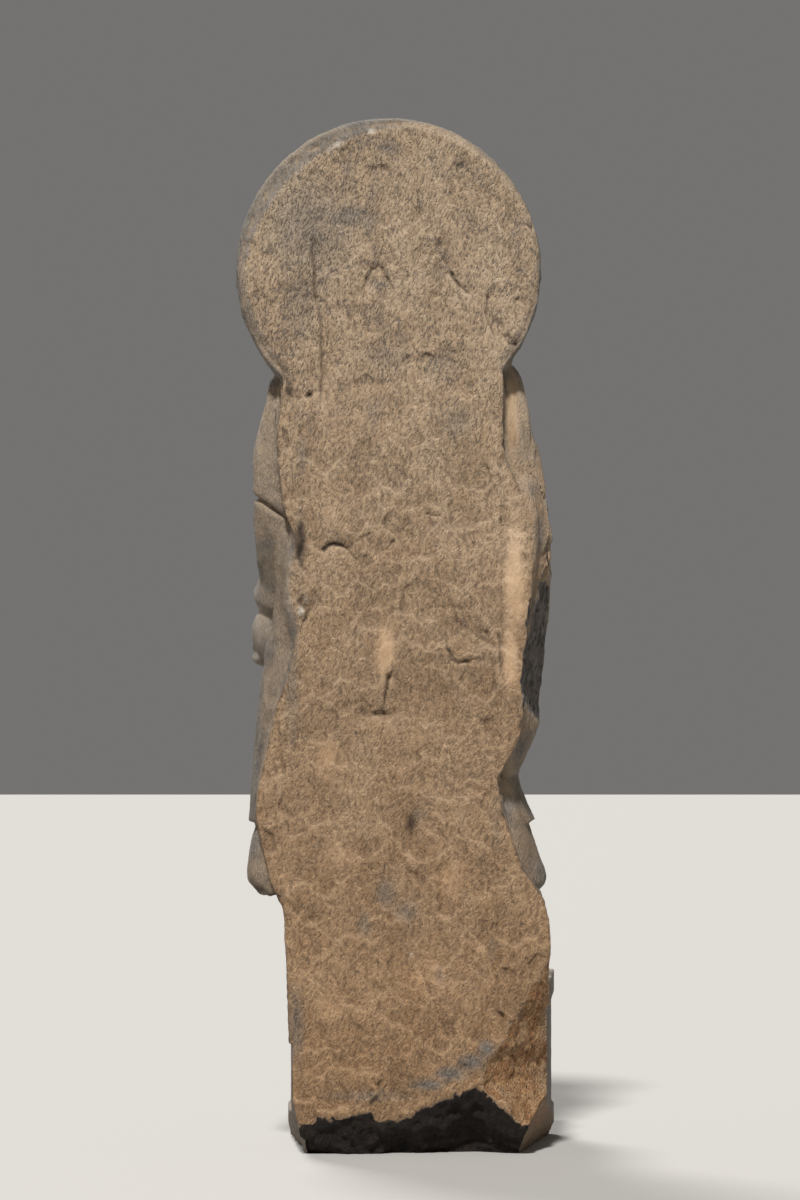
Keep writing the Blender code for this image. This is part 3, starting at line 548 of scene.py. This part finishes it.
# Cracks and small ledges of the back: a line of x and height in millimetres, half width, depth, how dark
# its painted shade is, and the step from one side to the other.
CRACKS = [
    ([(75, 606), (70, 610), (64, 612), (58, 611), (53, 608)], 1.4, 3.6, 0.9, 1.2),
    ([(53, 608), (48, 604), (43, 599), (41, 596)], 1.0, 1.6, 0.45, 0.8),
    ([(52, 607), (44, 614), (30, 622)], 1.2, 1.6, 0.5, 0.8),
    ([(16.5, 604), (12, 608), (5, 616)], 1.3, 2.4, 0.8, 0.6),
    ([(5, 616), (-10, 631), (-22, 641), (-29, 644)], 1.1, 1.4, 0.45, 0.8),
    ([(-29, 644), (-39, 641), (-45, 642.5)], 1.3, 2.2, 0.7, 0.6),
    ([(-41, 876), (-46, 881), (-51, 884), (-54, 882)], 1.1, 1.8, 0.6, 1.0),
    ([(-54, 882), (-58, 876), (-63, 870), (-68, 864)], 1.3, 3.0, 0.7, 1.4),
    ([(86, 906), (84, 884), (84, 860), (80, 845), (78, 830), (77, 792), (78, 766)], 1.8, 0.9, 0.45, 5.0),
    ([(-125, 934), (-133, 928)], 1.2, 2.4, 0.6, 0.5),
    ([(-112, 813), (-128, 810)], 1.5, 3.0, 0.7, 0.8),
    ([(9, 479), (11, 470), (13, 459), (15, 443)], 1.5, 2.6, 0.7, 2.8),
    ([(15, 443), (23, 442)], 1.3, 2.0, 0.6, 1.5),
    ([(28, 449), (34, 456), (39, 455)], 1.2, 1.8, 0.5, 1.0),
    ([(111, 765), (104, 758), (100, 757), (88, 761)], 2.0, 4.5, 0.8, 1.0),
    ([(98, 628), (96, 612), (101, 600), (94, 588)], 2.2, 2.6, 0.6, 1.5),
    ([(98, 555), (91, 545), (95, 536)], 1.8, 3.0, 0.6, 1.5),
    ([(-78, 521), (-84, 517), (-100, 508), (-103, 490)], 1.6, 1.8, 0.35, 1.8),
    ([(-102.5, 633), (-102, 560), (-103, 493)], 1.8, 0.6, 0.1, 1.6),
    ([(-27, 172), (-36, 150), (-41, 137), (-48, 122)], 1.8, 1.4, 0.3, 2.0),
    ([(100, 240), (93, 232), (84, 234)], 1.6, 1.8, 0.3, 1.6),
    ([(110, 160), (102, 148), (104, 128)], 2.0, 1.2, 0.2, 2.0),
    ([(-74, 222), (-90, 206), (-96, 180)], 2.0, 1.2, 0.2, 2.0),
    ([(9, 877), (14, 886), (20, 891), (26, 888), (31, 878)], 1.4, 0.9, 0.35, 3.0),
    ([(-30, 893), (-34, 901), (-41, 902), (-46, 894)], 1.4, 0.9, 0.35, 3.0),
    ([(-90, 861), (-87, 845), (-91, 831), (-93, 826)], 1.3, 1.4, 0.35, 2.2),
    ([(122, 797), (117, 785), (110, 772), (104, 762)], 1.2, 1.6, 0.45, 1.0),
    ([(-51, 508), (-54, 498), (-60, 493), (-69, 496)], 1.2, 2.4, 0.6, -2.0),
    ([(-101, 522), (-102, 506), (-101, 490)], 1.1, 1.8, 0.45, 0.8),
]


def gap_to(path, x_mm, z_mm):
    """Distance to a line of straight stretches by dropping a square on each, and the side of it."""
    best, side = np.full(len(x_mm), np.inf), np.zeros(len(x_mm))
    for (ax, az), (bx, bz) in zip(path, path[1:]):
        dx, dz = bx - ax, bz - az
        t = np.clip(((x_mm - ax) * dx + (z_mm - az) * dz) / (dx**2 + dz**2), 0, 1)
        gap = np.hypot(x_mm - ax - t * dx, z_mm - az - t * dz)
        side = np.where(gap < best, np.sign((x_mm - ax) * dz - (z_mm - az) * dx), side)
        best = np.minimum(best, gap)
    return best, side


x_mm = px / UNIT + 4.5 * (clouds(back_points, 0.010, 5, 2) - 0.5)
z_mm = pz / UNIT + 4.5 * (clouds(back_points, 0.010, 6, 2) - 0.5)
broken_up = ramp(clouds(back_points, 0.011, 15), 0.22, 0.55)
crack_shade = np.zeros(len(scarred))
for path, width, deep, dark, step in CRACKS:
    gap, side = gap_to(path, x_mm, z_mm)
    groove = hill(gap * (1.6 - broken_up), width) * (0.3 + 0.7 * broken_up)
    hew += UNIT * (deep * groove + step * (0.5 + 0.5 * side * ramp(gap, 0, 1.2)) * hill(gap, 13))
    # The dark of each crack is painted shade.
    crack_shade = np.maximum(crack_shade, dark * groove)
hew = np.maximum(hew, 0.3 * UNIT * (crumbs + 0.5))
points[scarred, 1] -= hew * behind[scarred]
crack_and_crease_shade_mask = np.zeros(count)
crack_and_crease_shade_mask[scarred] = crack_shade * behind[scarred]
# A line of painted shade in the crease under the elbow's roll.
elbow_crease_shade = hill(elbow + 1 + 4 * (clouds(points, 0.012, 19) - 0.5), 2.2) * on_elbow * ramp(x, 110, 118)
crack_and_crease_shade_mask = np.maximum(crack_and_crease_shade_mask, 0.55 * elbow_crease_shade * ramp(points[:, 1], 0.02, 0.04) * (1 - behind))

# Stone lost from the block. A break is a steep face behind an edge on the back; the edge is given as a
# curve, and the face is torn by splinters that follow the bed of the schist.
CORNER_EDGE = [(0.020, -0.190), (0.033, -0.112), (0.051, -0.098), (0.074, -0.0765), (0.092, -0.078),
               (0.111, -0.093), (0.134, -0.103), (0.154, -0.118), (0.175, -0.128), (0.198, -0.142),
               (0.212, -0.152), (0.240, -0.175)]
SLEEVE_EDGE = [(0.425, -0.180), (0.439, -0.150), (0.445, -0.128), (0.455, -0.121), (0.474, -0.117),
               (0.500, -0.121), (0.525, -0.126), (0.542, -0.129), (0.555, -0.130), (0.566, -0.133),
               (0.588, -0.135), (0.596, -0.152), (0.615, -0.180)]
FOOT_EDGE = [(-0.165, 0.030), (-0.140, 0.036), (-0.111, 0.048), (-0.098, 0.062), (-0.079, 0.078),
             (-0.061, 0.067), (-0.029, 0.060), (-0.010, 0.053), (0.031, 0.049), (0.059, 0.046),
             (0.093, 0.046), (0.115, 0.030)]
splinters = clouds(points * (1, 1, 0.32), 0.011, 8, 3) - 0.5
torn = clouds(points, 0.024, 9, 4) - 0.5
pitted = clouds(points, 0.0048, 16, 2) - 0.5


def snap_off(past, direction, roughness, shape):
    """Points past a face go back to it along its direction, and the face is shaped by chance."""
    direction = np.array(direction) / np.linalg.norm(direction)
    past = np.maximum(past + roughness * shape, 0)
    return points - past[:, None] * direction, ramp(past, 0, 0.0012)


def side_break(edge, out_x, out_y, lean=0):
    """How far a point is past an upright face that starts at a curved edge on the back and leans down."""
    height = points[:, 2] + 0.020 * torn + 0.25 * (BACK_Y - points[:, 1]) * lean
    start = np.interp(height, *np.array(edge).T)
    return ((points[:, 0] - start) * out_x + (points[:, 1] - BACK_Y) * out_y) / math.hypot(out_x, out_y)


points, corner_break = snap_off(side_break(CORNER_EDGE, -0.60, 0.80), (-0.60, 0.80, 0), 0.009,
                                torn + 0.5 * splinters + 0.35 * pitted)
by_sleeve = 0.2 * (1 - ramp(points[:, 1], -0.045, -0.030))
points, sleeve_break = snap_off(side_break(SLEEVE_EDGE, -0.970, 0.243, 1) - by_sleeve,
                                (-0.970, 0.243, 0), 0.009, torn + splinters + 0.3 * pitted)
foot_start = np.interp(points[:, 0], *np.array(FOOT_EDGE).T)
foot_past = (points[:, 1] - BACK_Y) * 0.86 - (points[:, 2] - foot_start) * 0.51
points, foot_break = snap_off(foot_past, (0, 0.86, -0.51), 0.012, 0.15 * pitted + 0.25 * torn
                              + 1.8 * torn * ramp(foot_past, 0.002, 0.016))
past_right = (points - (-0.1485, -0.066, 0)) @ (np.array((-0.80, 0.157, -0.35)) / 0.887)
points, right_break = snap_off(past_right, (-0.80, 0.157, -0.35), 0.007, torn + 0.3 * pitted)
past_left = (points - (0.099, 0, 0)) @ (np.array((0.90, 0.087, -0.27)) / 0.944)
points, left_break = snap_off(past_left, (0.90, 0.087, -0.27), 0.007, torn + 0.3 * pitted)
stump = at(-109, 103, 462)
past_stump = (points - stump) @ (np.array((0.05, -0.86, 0.50)) / 0.996)
past_stump[np.linalg.norm(points - at(-109, 118, 476), axis=1) > 0.046] = -1
points, stump_break = snap_off(past_stump, (0.05, -0.86, 0.50), 0.010, torn + 0.5 * splinters)

# Small dents of age on the dressed faces, and splinters at the broken edge of the slab. The halo's rim is
# free of the figure above RIM_FROM.
RIM_FROM = 0.77
slab_side = (1 - np.abs(facing)) * ramp(points[:, 1], SLAB_FRONT_Y - 0.012, SLAB_FRONT_Y + 0.010)
slab_side *= 1 - ramp(from_centre, HALO_RADIUS - 0.012, HALO_RADIUS - 0.008) * (points[:, 2] > RIM_FROM)
near_edge = ramp(points[:, 1], 0.02, 0.07) * (1 - behind)
age = ((0.5 + 2.3 * near_edge) * (clouds(points, 0.008, 10, 3) - 0.5)
       - 6 * slab_side * np.maximum(torn + 0.3 * splinters, 0))
points += normals * (UNIT * age)[:, None]
points[:, 2] = np.maximum(points[:, 2], 0)

# What lies where: dust settles in hollows and on the faces that look up or back; ridges and crests get a
# painted highlight, crevices painted shade, and faces are painted lighter as they look up, darker as they
# look down.
stone.vertices.foreach_set("co", points.astype(np.float32).ravel())
stone.update()
turned_to = vectors(stone.vertex_normals, "vector")
swell = ((even_out(points, 0.5, 10) - points) * turned_to).sum(axis=1) / UNIT
crest = -((even_out(points, 0.5, 3) - points) * turned_to).sum(axis=1) / UNIT * behind
# How much each face looks up, for painted light on tops and painted shade on undersides.
top_light_and_underside_shade = even_out(turned_to, 0.5, 4)[:, 2]
drifts = clouds(points, 0.034, 17, 3)
at_x, at_y, at_z = points.T
settled = 0.75 * ramp(turned_to[:, 2], 0.25, 0.9) * ramp(drifts, 0.35, 0.6)
from_behind = ramp(turned_to[:, 1], 0.0, 0.5) * ramp(at_y, -0.02, 0.04)
settled = np.maximum(settled, from_behind * np.where(at_x < 0, 0.85, 0.55)
                     * ramp(drifts, 0.35, 0.55))

# Stains of earth on the back, among them a few spots of painted shade under the hem and under an
# overhang, blue-grey places where the dust is rubbed off, and pale chips: x, height, reach across and up in
# millimetres, and how strong.
STAINS_AND_SHADE_SPOTS = [(98, 612, 8, 20, 0.9), (-13, 333, 6, 12, 1.0), (-24, 350, 18, 18, 0.35),
                (84, 556, 9, 12, 0.5), (-122, 800, 14, 22, 0.6), (110, 762, 14, 8, 0.6),
                # The spot at x -127, height 325, is painted shade under an overhang, and the spots at
                # heights 265 and 259 on the next row are painted shade under the hem.
                (36, 446, 10, 7, 0.6), (-90, 498, 16, 10, 0.3), (-127, 325, 13, 46, 0.4),
                (100, 290, 8, 30, 0.25), (140, 265, 9, 4, 1.0), (122, 259, 10, 4, 1.0),
                (-132, 300, 16, 40, 0.45), (-140, 345, 8, 30, 0.4), (-160, 105, 5, 70, 0.6)]
BARE_PATCHES = [(9, 1008, 18, 9, 0.7), (50, 940, 34, 15, 0.8), (28, 935, 10, 14, 0.7),
                (20, 872, 14, 5, 0.7), (-36, 995, 9, 9, 0.5), (10, 800, 34, 20, 0.5),
                (-46, 790, 26, 26, 0.5), (-60, 735, 30, 30, 0.5), (90, 930, 56, 70, 0.65),
                (12, 262, 14, 20, 0.7), (-8, 244, 16, 14, 0.65), (34, 232, 10, 18, 0.6),
                (-20, 340, 12, 16, 0.5), (106, 480, 10, 90, 0.6), (102, 130, 11, 50, 0.7),
                (-143, 622, 8, 26, 0.8), (-136, 668, 10, 12, 0.7), (-30, 71, 18, 7, 1.0),
                (-52, 82, 18, 9, 1.0), (-74, 94, 16, 10, 1.0), (-88, 107, 10, 11, 1.0),
                (30, 60, 60, 8, 0.6), (-94, 208, 6, 22, 0.5), (-42, 180, 8, 16, 0.5),
                (96, 700, 8, 26, 0.6), (98, 620, 6, 60, 0.5), (-98, 330, 12, 50, 0.4),
                (30, 560, 10, 30, 0.25), (110, 990, 26, 30, 0.4), (100, 850, 30, 60, 0.5),
                (-100, 905, 20, 70, 0.2), (-40, 600, 10, 30, 0.25)]
PALE_CHIPS = [(97, 545, 3.5, 4, 1.0), (92, 555, 4, 4, 0.6), (26, 1025, 3, 2.2, 1.0),
              (60, 1011, 9, 2.4, 0.7), (68, 1006, 5, 2, 0.7), (-13, 202, 3, 2, 0.8),
              (-100, 470, 3, 2, 0.5), (40, 330, 3, 2, 0.5)]
rim_bearing = np.degrees(np.arctan2(at_z - halo_z, at_x - halo_x)) % 360
bevel = np.interp(rim_bearing, np.degrees(halo_turn), chamfer)
on_rim = (from_centre > HALO_RADIUS - 0.002 - bevel) & (at_z > RIM_FROM)
near_back = (at_y > 0.03) & (turned_to[:, 1] > -0.3)
rim_share = on_rim * np.interp(rim_bearing, [0, 12, 82, 98, 190, 215, 224, 314, 325, 360],
                               [0.6, 1, 1, 0.3, 0.2, 0.6, 0, 0, 0.6, 0.6])
sleeve_back = ramp(turned_to[:, 1], 0.05, 0.4) * (at_x < -0.1) * ramp(at_z, 0.555, 0.575)
sleeve_back *= 1 - ramp(at_z, 0.69, 0.71)
worn_side = (ramp(at_y, 0.030, 0.085) * ramp(turned_to[:, 1], -0.5, 0.1) * ramp(drifts, 0.2, 0.6)
             * (1 - on_rim) * (1 - behind))
broken = np.maximum.reduce([corner_break, sleeve_break, foot_break])
chipped = np.maximum.reduce([right_break, left_break, stump_break])
marks = {
    "rough_back": np.maximum.reduce([behind * (1 - 0.85 * rim_share), 0.4 * chipped, 0.85 * sleeve_back,
                                     0.55 * worn_side]) * (1 - broken),
    "caked": caked * near_back * (1 - broken),
    "hollow": np.clip(np.maximum(ramp(swell, 0.04, 0.42), settled * (1 - behind)), 0, 1),
    # Painted highlight on convex ridges, and on the crests of the back.
    "ridge": np.maximum(ramp(-swell, 0.06, 0.45) * (1 - behind), ramp(crest, 0.06, 0.24)),
    # Painted shade in the crevices of the back.
    "crevice_shade": ramp(-crest, 0.06, 0.24),
    "stroked": ramp(at_y, 0.0, 0.05) * ramp(turned_to[:, 1], -0.6, 0.0),
    # Painted light on the faces that look up, painted shade on those that look down.
    "top_light_and_underside_shade": np.clip(0.5 + 1.25 * top_light_and_underside_shade, 0, 1),
    "fresh_break": sleeve_break * (1 - corner_break),
    "earthy_break": np.maximum(corner_break, 0.5 * right_break),
    # The foot's break: dark stone, painted near black for the shade of a face that looks down.
    "dark_and_shaded_foot_break": foot_break * (1 - corner_break),
    # Painted shade in the cracks and in the elbow's crease.
    "crack_and_crease_shade": np.clip(crack_and_crease_shade_mask, 0, 1),
    # Earth stains, with a few spots of painted shade.
    "stain_and_shade": spots_of(STAINS_AND_SHADE_SPOTS, points) * near_back,
    "bare": np.maximum.reduce([spots_of(BARE_PATCHES, points) * near_back, 0.55 * rim_share, 0.8 * chipped,
                               0.6 * worn_side]),
    "chip": ramp(spots_of(PALE_CHIPS, points) * near_back, 0.35, 0.7),
}
for name, values in marks.items():
    stone.attributes.new(name, "FLOAT", "POINT").data.foreach_set("value", values.astype(np.float32))

# The finished stone keeps its detail where the surface turns and has larger faces where it is flat.
TRIANGLES = 196000
dense = placed("dense", stone)
thin = dense.modifiers.new("fewer faces", "DECIMATE")
thin.ratio = TRIANGLES / (2 * len(stone.polygons))
final = bpy.data.meshes.new_from_object(dense.evaluated_get(bpy.context.evaluated_depsgraph_get()))
bpy.data.objects.remove(dense)
final.name = "carved_schist_figure"
final.shade_smooth()
carved_schist_figure = placed("carved_schist_figure", final)


# Grey schist: a fine-grained foliated stone with mica, split and cut by hand, never polished. Buff dust
# from its burial lies on the rough back and in every hollow; the dressed faces are bare and smoother, and
# fresh breaks are dark. It has no gloss anywhere; the glitter of its mica is painted in as pale specks.
def linear(code):
    """A hex colour as linear red, green, blue and alpha, by the sRGB curve."""
    parts = [int(code[i:i + 2], 16) / 255 for i in (1, 3, 5)]
    return [c / 12.92 if c <= 0.04045 else ((c + 0.055) / 1.055) ** 2.4 for c in parts] + [1.0]


schist = bpy.data.materials.new("buried_grey_schist")
schist.use_nodes = True
tree = schist.node_tree
shader = tree.nodes["Principled BSDF"].inputs


def wire(kind, inputs=None, out=0, **settings):
    """One node with its settings, and its inputs by name or place: values or other nodes' outputs."""
    made = tree.nodes.new(kind)
    for name, value in settings.items():
        setattr(made, name, value)
    for name, value in (inputs or {}).items():
        if isinstance(value, bpy.types.NodeSocket):
            tree.links.new(value, made.inputs[name])
        else:
            made.inputs[name].default_value = linear(value) if isinstance(value, str) else value
    return made.outputs[out]


NOISE, CELLS, MAPPING = "ShaderNodeTexNoise", "ShaderNodeTexVoronoi", "ShaderNodeMapping"
SPREAD, MATHS, VECTORS = "ShaderNodeMapRange", "ShaderNodeMath", "ShaderNodeVectorMath"
MIX, LAYER = "ShaderNodeMix", {"out": 2, "data_type": "RGBA"}
mark = {name: wire("ShaderNodeAttribute", out="Fac", attribute_name=name) for name in marks}
where = wire("ShaderNodeTexCoord", out="Object")
# Patches of 30 mm, twice as tall, and of 13 mm; flecks 1.6 mm across and 4 mm tall that lean to the
# figure's right; flakes 3 mm across and 8 mm tall with dark seams; crumbs of 5 mm; small scars 12 mm
# apart; strokes of the chisel 2.4 mm across and seven times as tall; and specks of 1.1 mm for painted
# glints of mica, drawn coarser than real ones, which are too fine to show.
drawn_up = wire(MAPPING, {"Vector": where, "Scale": (1, 1, 1.9)}, vector_type="TEXTURE")
patch = wire(NOISE, {"Vector": drawn_up, "Scale": 1 / 0.030, "Detail": 4, "Roughness": 0.6})
small_patch = wire(NOISE, {"Vector": where, "Scale": 1 / 0.013, "Detail": 3, "Roughness": 0.6})
leaning = wire(MAPPING, {"Vector": where, "Rotation": (0, -0.30, 0), "Scale": (1, 1, 2.7)},
               vector_type="TEXTURE")
fleck = wire(NOISE, {"Vector": leaning, "Scale": 1 / 0.0016, "Detail": 3, "Roughness": 0.65})
crumb = wire(NOISE, {"Vector": leaning, "Scale": 1 / 0.0050, "Detail": 4, "Roughness": 0.65})
drift = wire(NOISE, {"Vector": where, "Scale": 1 / 0.0045, "Detail": 3, "Roughness": 0.6}, "Color")
drift = wire(VECTORS, {0: drift, 1: (0.5, 0.5, 0.5)}, operation="SUBTRACT")
bent = wire(VECTORS, {0: drift, 1: (0.010, 0.010, 0.010), 2: leaning}, operation="MULTIPLY_ADD")
flakes = {"Vector": bent, "Scale": 1 / 0.0028}
flake, plate = wire(CELLS, flakes, feature="DISTANCE_TO_EDGE"), wire(CELLS, flakes, "Color")
seam = wire(SPREAD, {0: flake, 1: 0.0, 2: 0.20, 3: 0.06, 4: 0.0})
fleck = wire(MATHS, {0: fleck, 1: seam}, operation="ADD")
shaken = wire(VECTORS, {0: drift, 1: (0.014, 0.014, 0.014), 2: where}, operation="MULTIPLY_ADD")
scar_centre = wire(CELLS, {"Vector": shaken, "Scale": 1 / 0.012}, "Position")
in_scar = wire(VECTORS, {0: where, 1: scar_centre}, operation="SUBTRACT")
in_scar = wire("ShaderNodeSeparateXYZ", {"Vector": in_scar}, out="Z")
mica_glint = wire(NOISE, {"Vector": where, "Scale": 1 / 0.0011, "Detail": 1})
upright = wire(MAPPING, {"Vector": where, "Rotation": (0.2, 0.12, 0), "Scale": (1, 1, 7)},
               vector_type="TEXTURE")
chisel = wire(NOISE, {"Vector": upright, "Scale": 1 / 0.0024, "Detail": 2})

# The dusty back: buff in two tones, dark flecks of bare stone through it, and a blue-grey film where the
# dust is thin. Each row of a list of colours is a layer over those before it: what decides, where it
# starts and where it is full, the most there is of it, and the colour.
up_stone = wire("ShaderNodeSeparateXYZ", {"Vector": where}, out="Z")
thin_dust = wire(SPREAD, {0: patch, 1: 0.46, 2: 0.68, 4: 0.60})
on_halo = wire(SPREAD, {0: up_stone, 1: 0.66, 2: 0.80})
thin_dust = wire(MATHS, {0: thin_dust, 1: wire(SPREAD, {0: on_halo, 3: 0.4, 4: 1.0})}, operation="MULTIPLY")
bare = wire(MATHS, {0: mark["bare"], 1: thin_dust}, operation="MAXIMUM")
dust = "#d4b896"
for share, low, high, most, laid in (
        (patch, 0.34, 0.6, 1, "#c3a582"), (crumb, 0.4, 0.66, 0.4, "#a08869"),
        # Painted highlight on the crests and painted shade in the crevices.
        (mark["ridge"], 0, 1, 0.22, "#e4cdad"), (mark["crevice_shade"], 0, 1, 0.5, "#7a6753"),
        # Faces that look up are painted lighter and those that look down darker, as light from above would
        # make them.
        (mark["top_light_and_underside_shade"], 0.5, 1, 0.12, "#e2cbab"), (mark["top_light_and_underside_shade"], 0.5, 0, 0.25, "#7f6c57")):
    laid_on = wire(SPREAD, {0: share, 1: low, 2: high, 4: most})
    dust = wire(MIX, {0: laid_on, 6: dust, 7: laid}, **LAYER)
tint = wire(MIX, {0: wire(SPREAD, {0: up_stone, 1: 0.1, 2: 0.9}), 6: "#e5d6c8", 7: "#f3f5fb"}, **LAYER)
dust = wire(MIX, {0: 1, 6: dust, 7: tint}, blend_type="MULTIPLY", **LAYER)
limit = wire(SPREAD, {0: bare, 3: 0.615, 4: 0.515})
for share, low, high, least, most in (
        (mark["caked"], 0.2, 0.8, 0, 0.14), (small_patch, 0.35, 0.65, 0.03, -0.03),
        # Fewer dark flecks on faces that look up and more on those that look down: painted light and shade.
        (up_stone, 0.3, 0.6, 0.03, 0), (mark["top_light_and_underside_shade"], 0.1, 0.9, -0.035, 0.035)):
    moved = wire(SPREAD, {0: share, 1: low, 2: high, 3: least, 4: most})
    limit = wire(MATHS, {0: limit, 1: moved}, operation="ADD")
over = wire(MATHS, {0: fleck, 1: limit}, operation="SUBTRACT")
most_flecks = wire(SPREAD, {0: on_halo, 3: 0.62, 4: 0.82})
flecked = wire(SPREAD, {0: over, 1: -0.05, 2: 0.06, 4: most_flecks})
film = wire(MIX, {0: wire(SPREAD, {0: bare, 1: 0.25, 2: 0.95, 4: 0.85}), 6: dust, 7: "#817c75"}, **LAYER)
small_tone = wire(SPREAD, {0: small_patch, 1: 0.4, 2: 0.62})
bare_stone = wire(MIX, {0: small_tone, 6: "#4e4237", 7: "#615b56"}, **LAYER)
back = wire(MIX, {0: flecked, 6: film, 7: bare_stone}, **LAYER)

# Dressed faces: bare grey stone with fine strokes of the claw chisel and dust left in the hollows.
strength = wire(SPREAD, {0: mark["stroked"], 3: 0.18, 4: 0.75})
stroke = wire(MATHS, {0: wire(SPREAD, {0: chisel, 1: 0.48, 2: 0.62}), 1: strength}, operation="MULTIPLY")
dusty = wire(SPREAD, {0: small_patch, 1: 0.3, 2: 0.6, 3: 0.25, 4: 0.8})
in_hollow = wire(MATHS, {0: mark["hollow"], 1: dusty}, operation="MULTIPLY")
caked_on = wire(SPREAD, {0: mark["caked"], 1: 0.15, 2: 0.6, 4: 0.85})

# Over the dusty back lie the dressed faces, the new break, the earthy old one, the foot's break of dark
# stone painted near black for shade, stains of earth with a few spots of painted shade, painted shade in
# the cracks and the elbow's crease, and pale chips, some with layers of their own.
colour = back
for name, start, full, most, laid, layers in (
        ("rough_back", 1, 0, 1, "#7d756c", [
            (patch, 0.38, 0.64, 1, "#625f5a"), (stroke, 0, 1, 1, "#4c4742"),
            # Pale specks as painted glints of mica, and a painted highlight on the ridges.
            (mica_glint, 0.62, 0.72, 0.5, "#a39b90"), (mark["ridge"], 0, 1, 0.35, "#978d80"),
            (in_hollow, 0, 1, 1, "#a08b70"), (caked_on, 0, 1, 1, "#b08e67")]),
        ("fresh_break", 0.35, 0.6, 1, "#3e3936", [
            # On the new break, the pale flecks are painted glints.
            (crumb, 0.38, 0.62, 1, "#7c746e"), (fleck, 0.58, 0.7, 0.6, "#8a8178")]),
        ("earthy_break", 0.35, 0.65, 1, "#b8926a", [
            (small_patch, 0.4, 0.6, 1, "#a0744c"), (patch, 0.5, 0.62, 0.7, "#ae9678"),
            (fleck, 0.5, 0.62, 0.7, "#54402f")]),
        # The foot's break: dark stone, painted near black for the shade of a face that looks down.
        ("dark_and_shaded_foot_break", 0.35, 0.65, 1, "#17110d", [(crumb, 0.38, 0.62, 1, "#2e241c")]),
        # Earth stains with a few spots of painted shade, then painted shade in the cracks and the elbow's
        # crease.
        ("stain_and_shade", 0.15, 0.9, 0.85, "#43342a", []), ("crack_and_crease_shade", 0.2, 0.8, 0.85, "#2b211a", []),
        ("chip", 0, 1, 1, "#cfc6b8", [])):
    for share, low, high, at_most, upper in layers:
        laid_on = wire(SPREAD, {0: share, 1: low, 2: high, 4: at_most})
        laid = wire(MIX, {0: laid_on, 6: laid, 7: upper}, **LAYER)
    laid_on = wire(SPREAD, {0: mark[name], 1: start, 2: full, 4: most})
    colour = wire(MIX, {0: laid_on, 6: colour, 7: laid}, **LAYER)
tree.links.new(colour, shader["Base Color"])
shader["Roughness"].default_value = 0.86
shader["Metallic"].default_value = 0.0
shader["Specular IOR Level"].default_value = 0.35

# Finer than the mesh, crumbs, flakes and small scars stand in relief: fully on the rough parts, half on
# the stroked sides, and a sixth on the smooth front and under caked dust.
between = wire(SPREAD, {0: fleck, 1: 0.35, 2: 0.68, 3: 0.45, 4: 0.0})
uneven = wire(MATHS, {0: crumb, 1: between}, operation="ADD")
uneven = wire(MATHS, {0: plate, 1: 0.13, 2: uneven}, operation="MULTIPLY_ADD")
scar_height = wire(SPREAD, {0: up_stone, 1: 0.45, 2: 0.75, 3: 100.0, 4: 25.0})
uneven = wire(MATHS, {0: in_scar, 1: scar_height, 2: uneven}, operation="MULTIPLY_ADD")
rough = mark["rough_back"]
for other in (mark["fresh_break"], mark["earthy_break"], mark["dark_and_shaded_foot_break"],
              wire(MATHS, {0: mark["stroked"], 1: 0.45}, operation="MULTIPLY")):
    rough = wire(MATHS, {0: rough, 1: other}, operation="MAXIMUM")
rough = wire(MATHS, {0: rough, 1: caked_on}, operation="SUBTRACT", use_clamp=True)
share = wire(SPREAD, {0: rough, 3: 0.16, 4: 1.0})
relief_height = wire(MATHS, {0: uneven, 1: share}, operation="MULTIPLY")
bump = wire("ShaderNodeBump", {"Strength": 1, "Distance": 0.0038, "Height": relief_height})
tree.links.new(bump, shader["Normal"])
final.materials.append(schist)
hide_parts("standing_buddha")
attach(carved_schist_figure, "root")

# A plain pale floor, and soft studio light that falls mostly from above on the side towards the camera.
floor_mesh = bpy.data.meshes.new("floor")
floor_mesh.from_pydata([(-9, -9, 0), (9, -9, 0), (9, 9, 0), (-9, 9, 0)], [], [(0, 1, 2, 3)])
floor = placed("floor", floor_mesh)
pale = bpy.data.materials.new("pale_matt_floor")
pale.use_nodes = True
matt = pale.node_tree.nodes["Principled BSDF"].inputs
matt["Base Color"].default_value = linear("#a19e99")
matt["Roughness"].default_value = 0.9
floor_mesh.materials.append(pale)

world = bpy.data.worlds.new("studio")
world.use_nodes = True
sky = world.node_tree.nodes["Background"].inputs
sky[0].default_value = linear("#dddbd8")
sky[1].default_value = 0.24
bpy.context.scene.world = world

# Each light comes from far off, from the direction of a point, its shadows as soft as its spread.
for name, source, strength, spread in (("above_the_back", (0.35, 2.3, 3.0), 4.8, 6),
                                       ("above_the_front", (0.9, -2.0, 2.2), 2.7, 20)):
    data = bpy.data.lights.new(name, "SUN")
    data.energy = strength
    data.angle = math.radians(spread)
    lamp = placed(name, data)
    lamp.location = source
    lamp.rotation_euler = (math.atan2(math.hypot(source[0], source[1]), source[2]), 0,
                           math.atan2(source[0], -source[1]))
bpy.context.scene.view_settings.view_transform = "Standard"
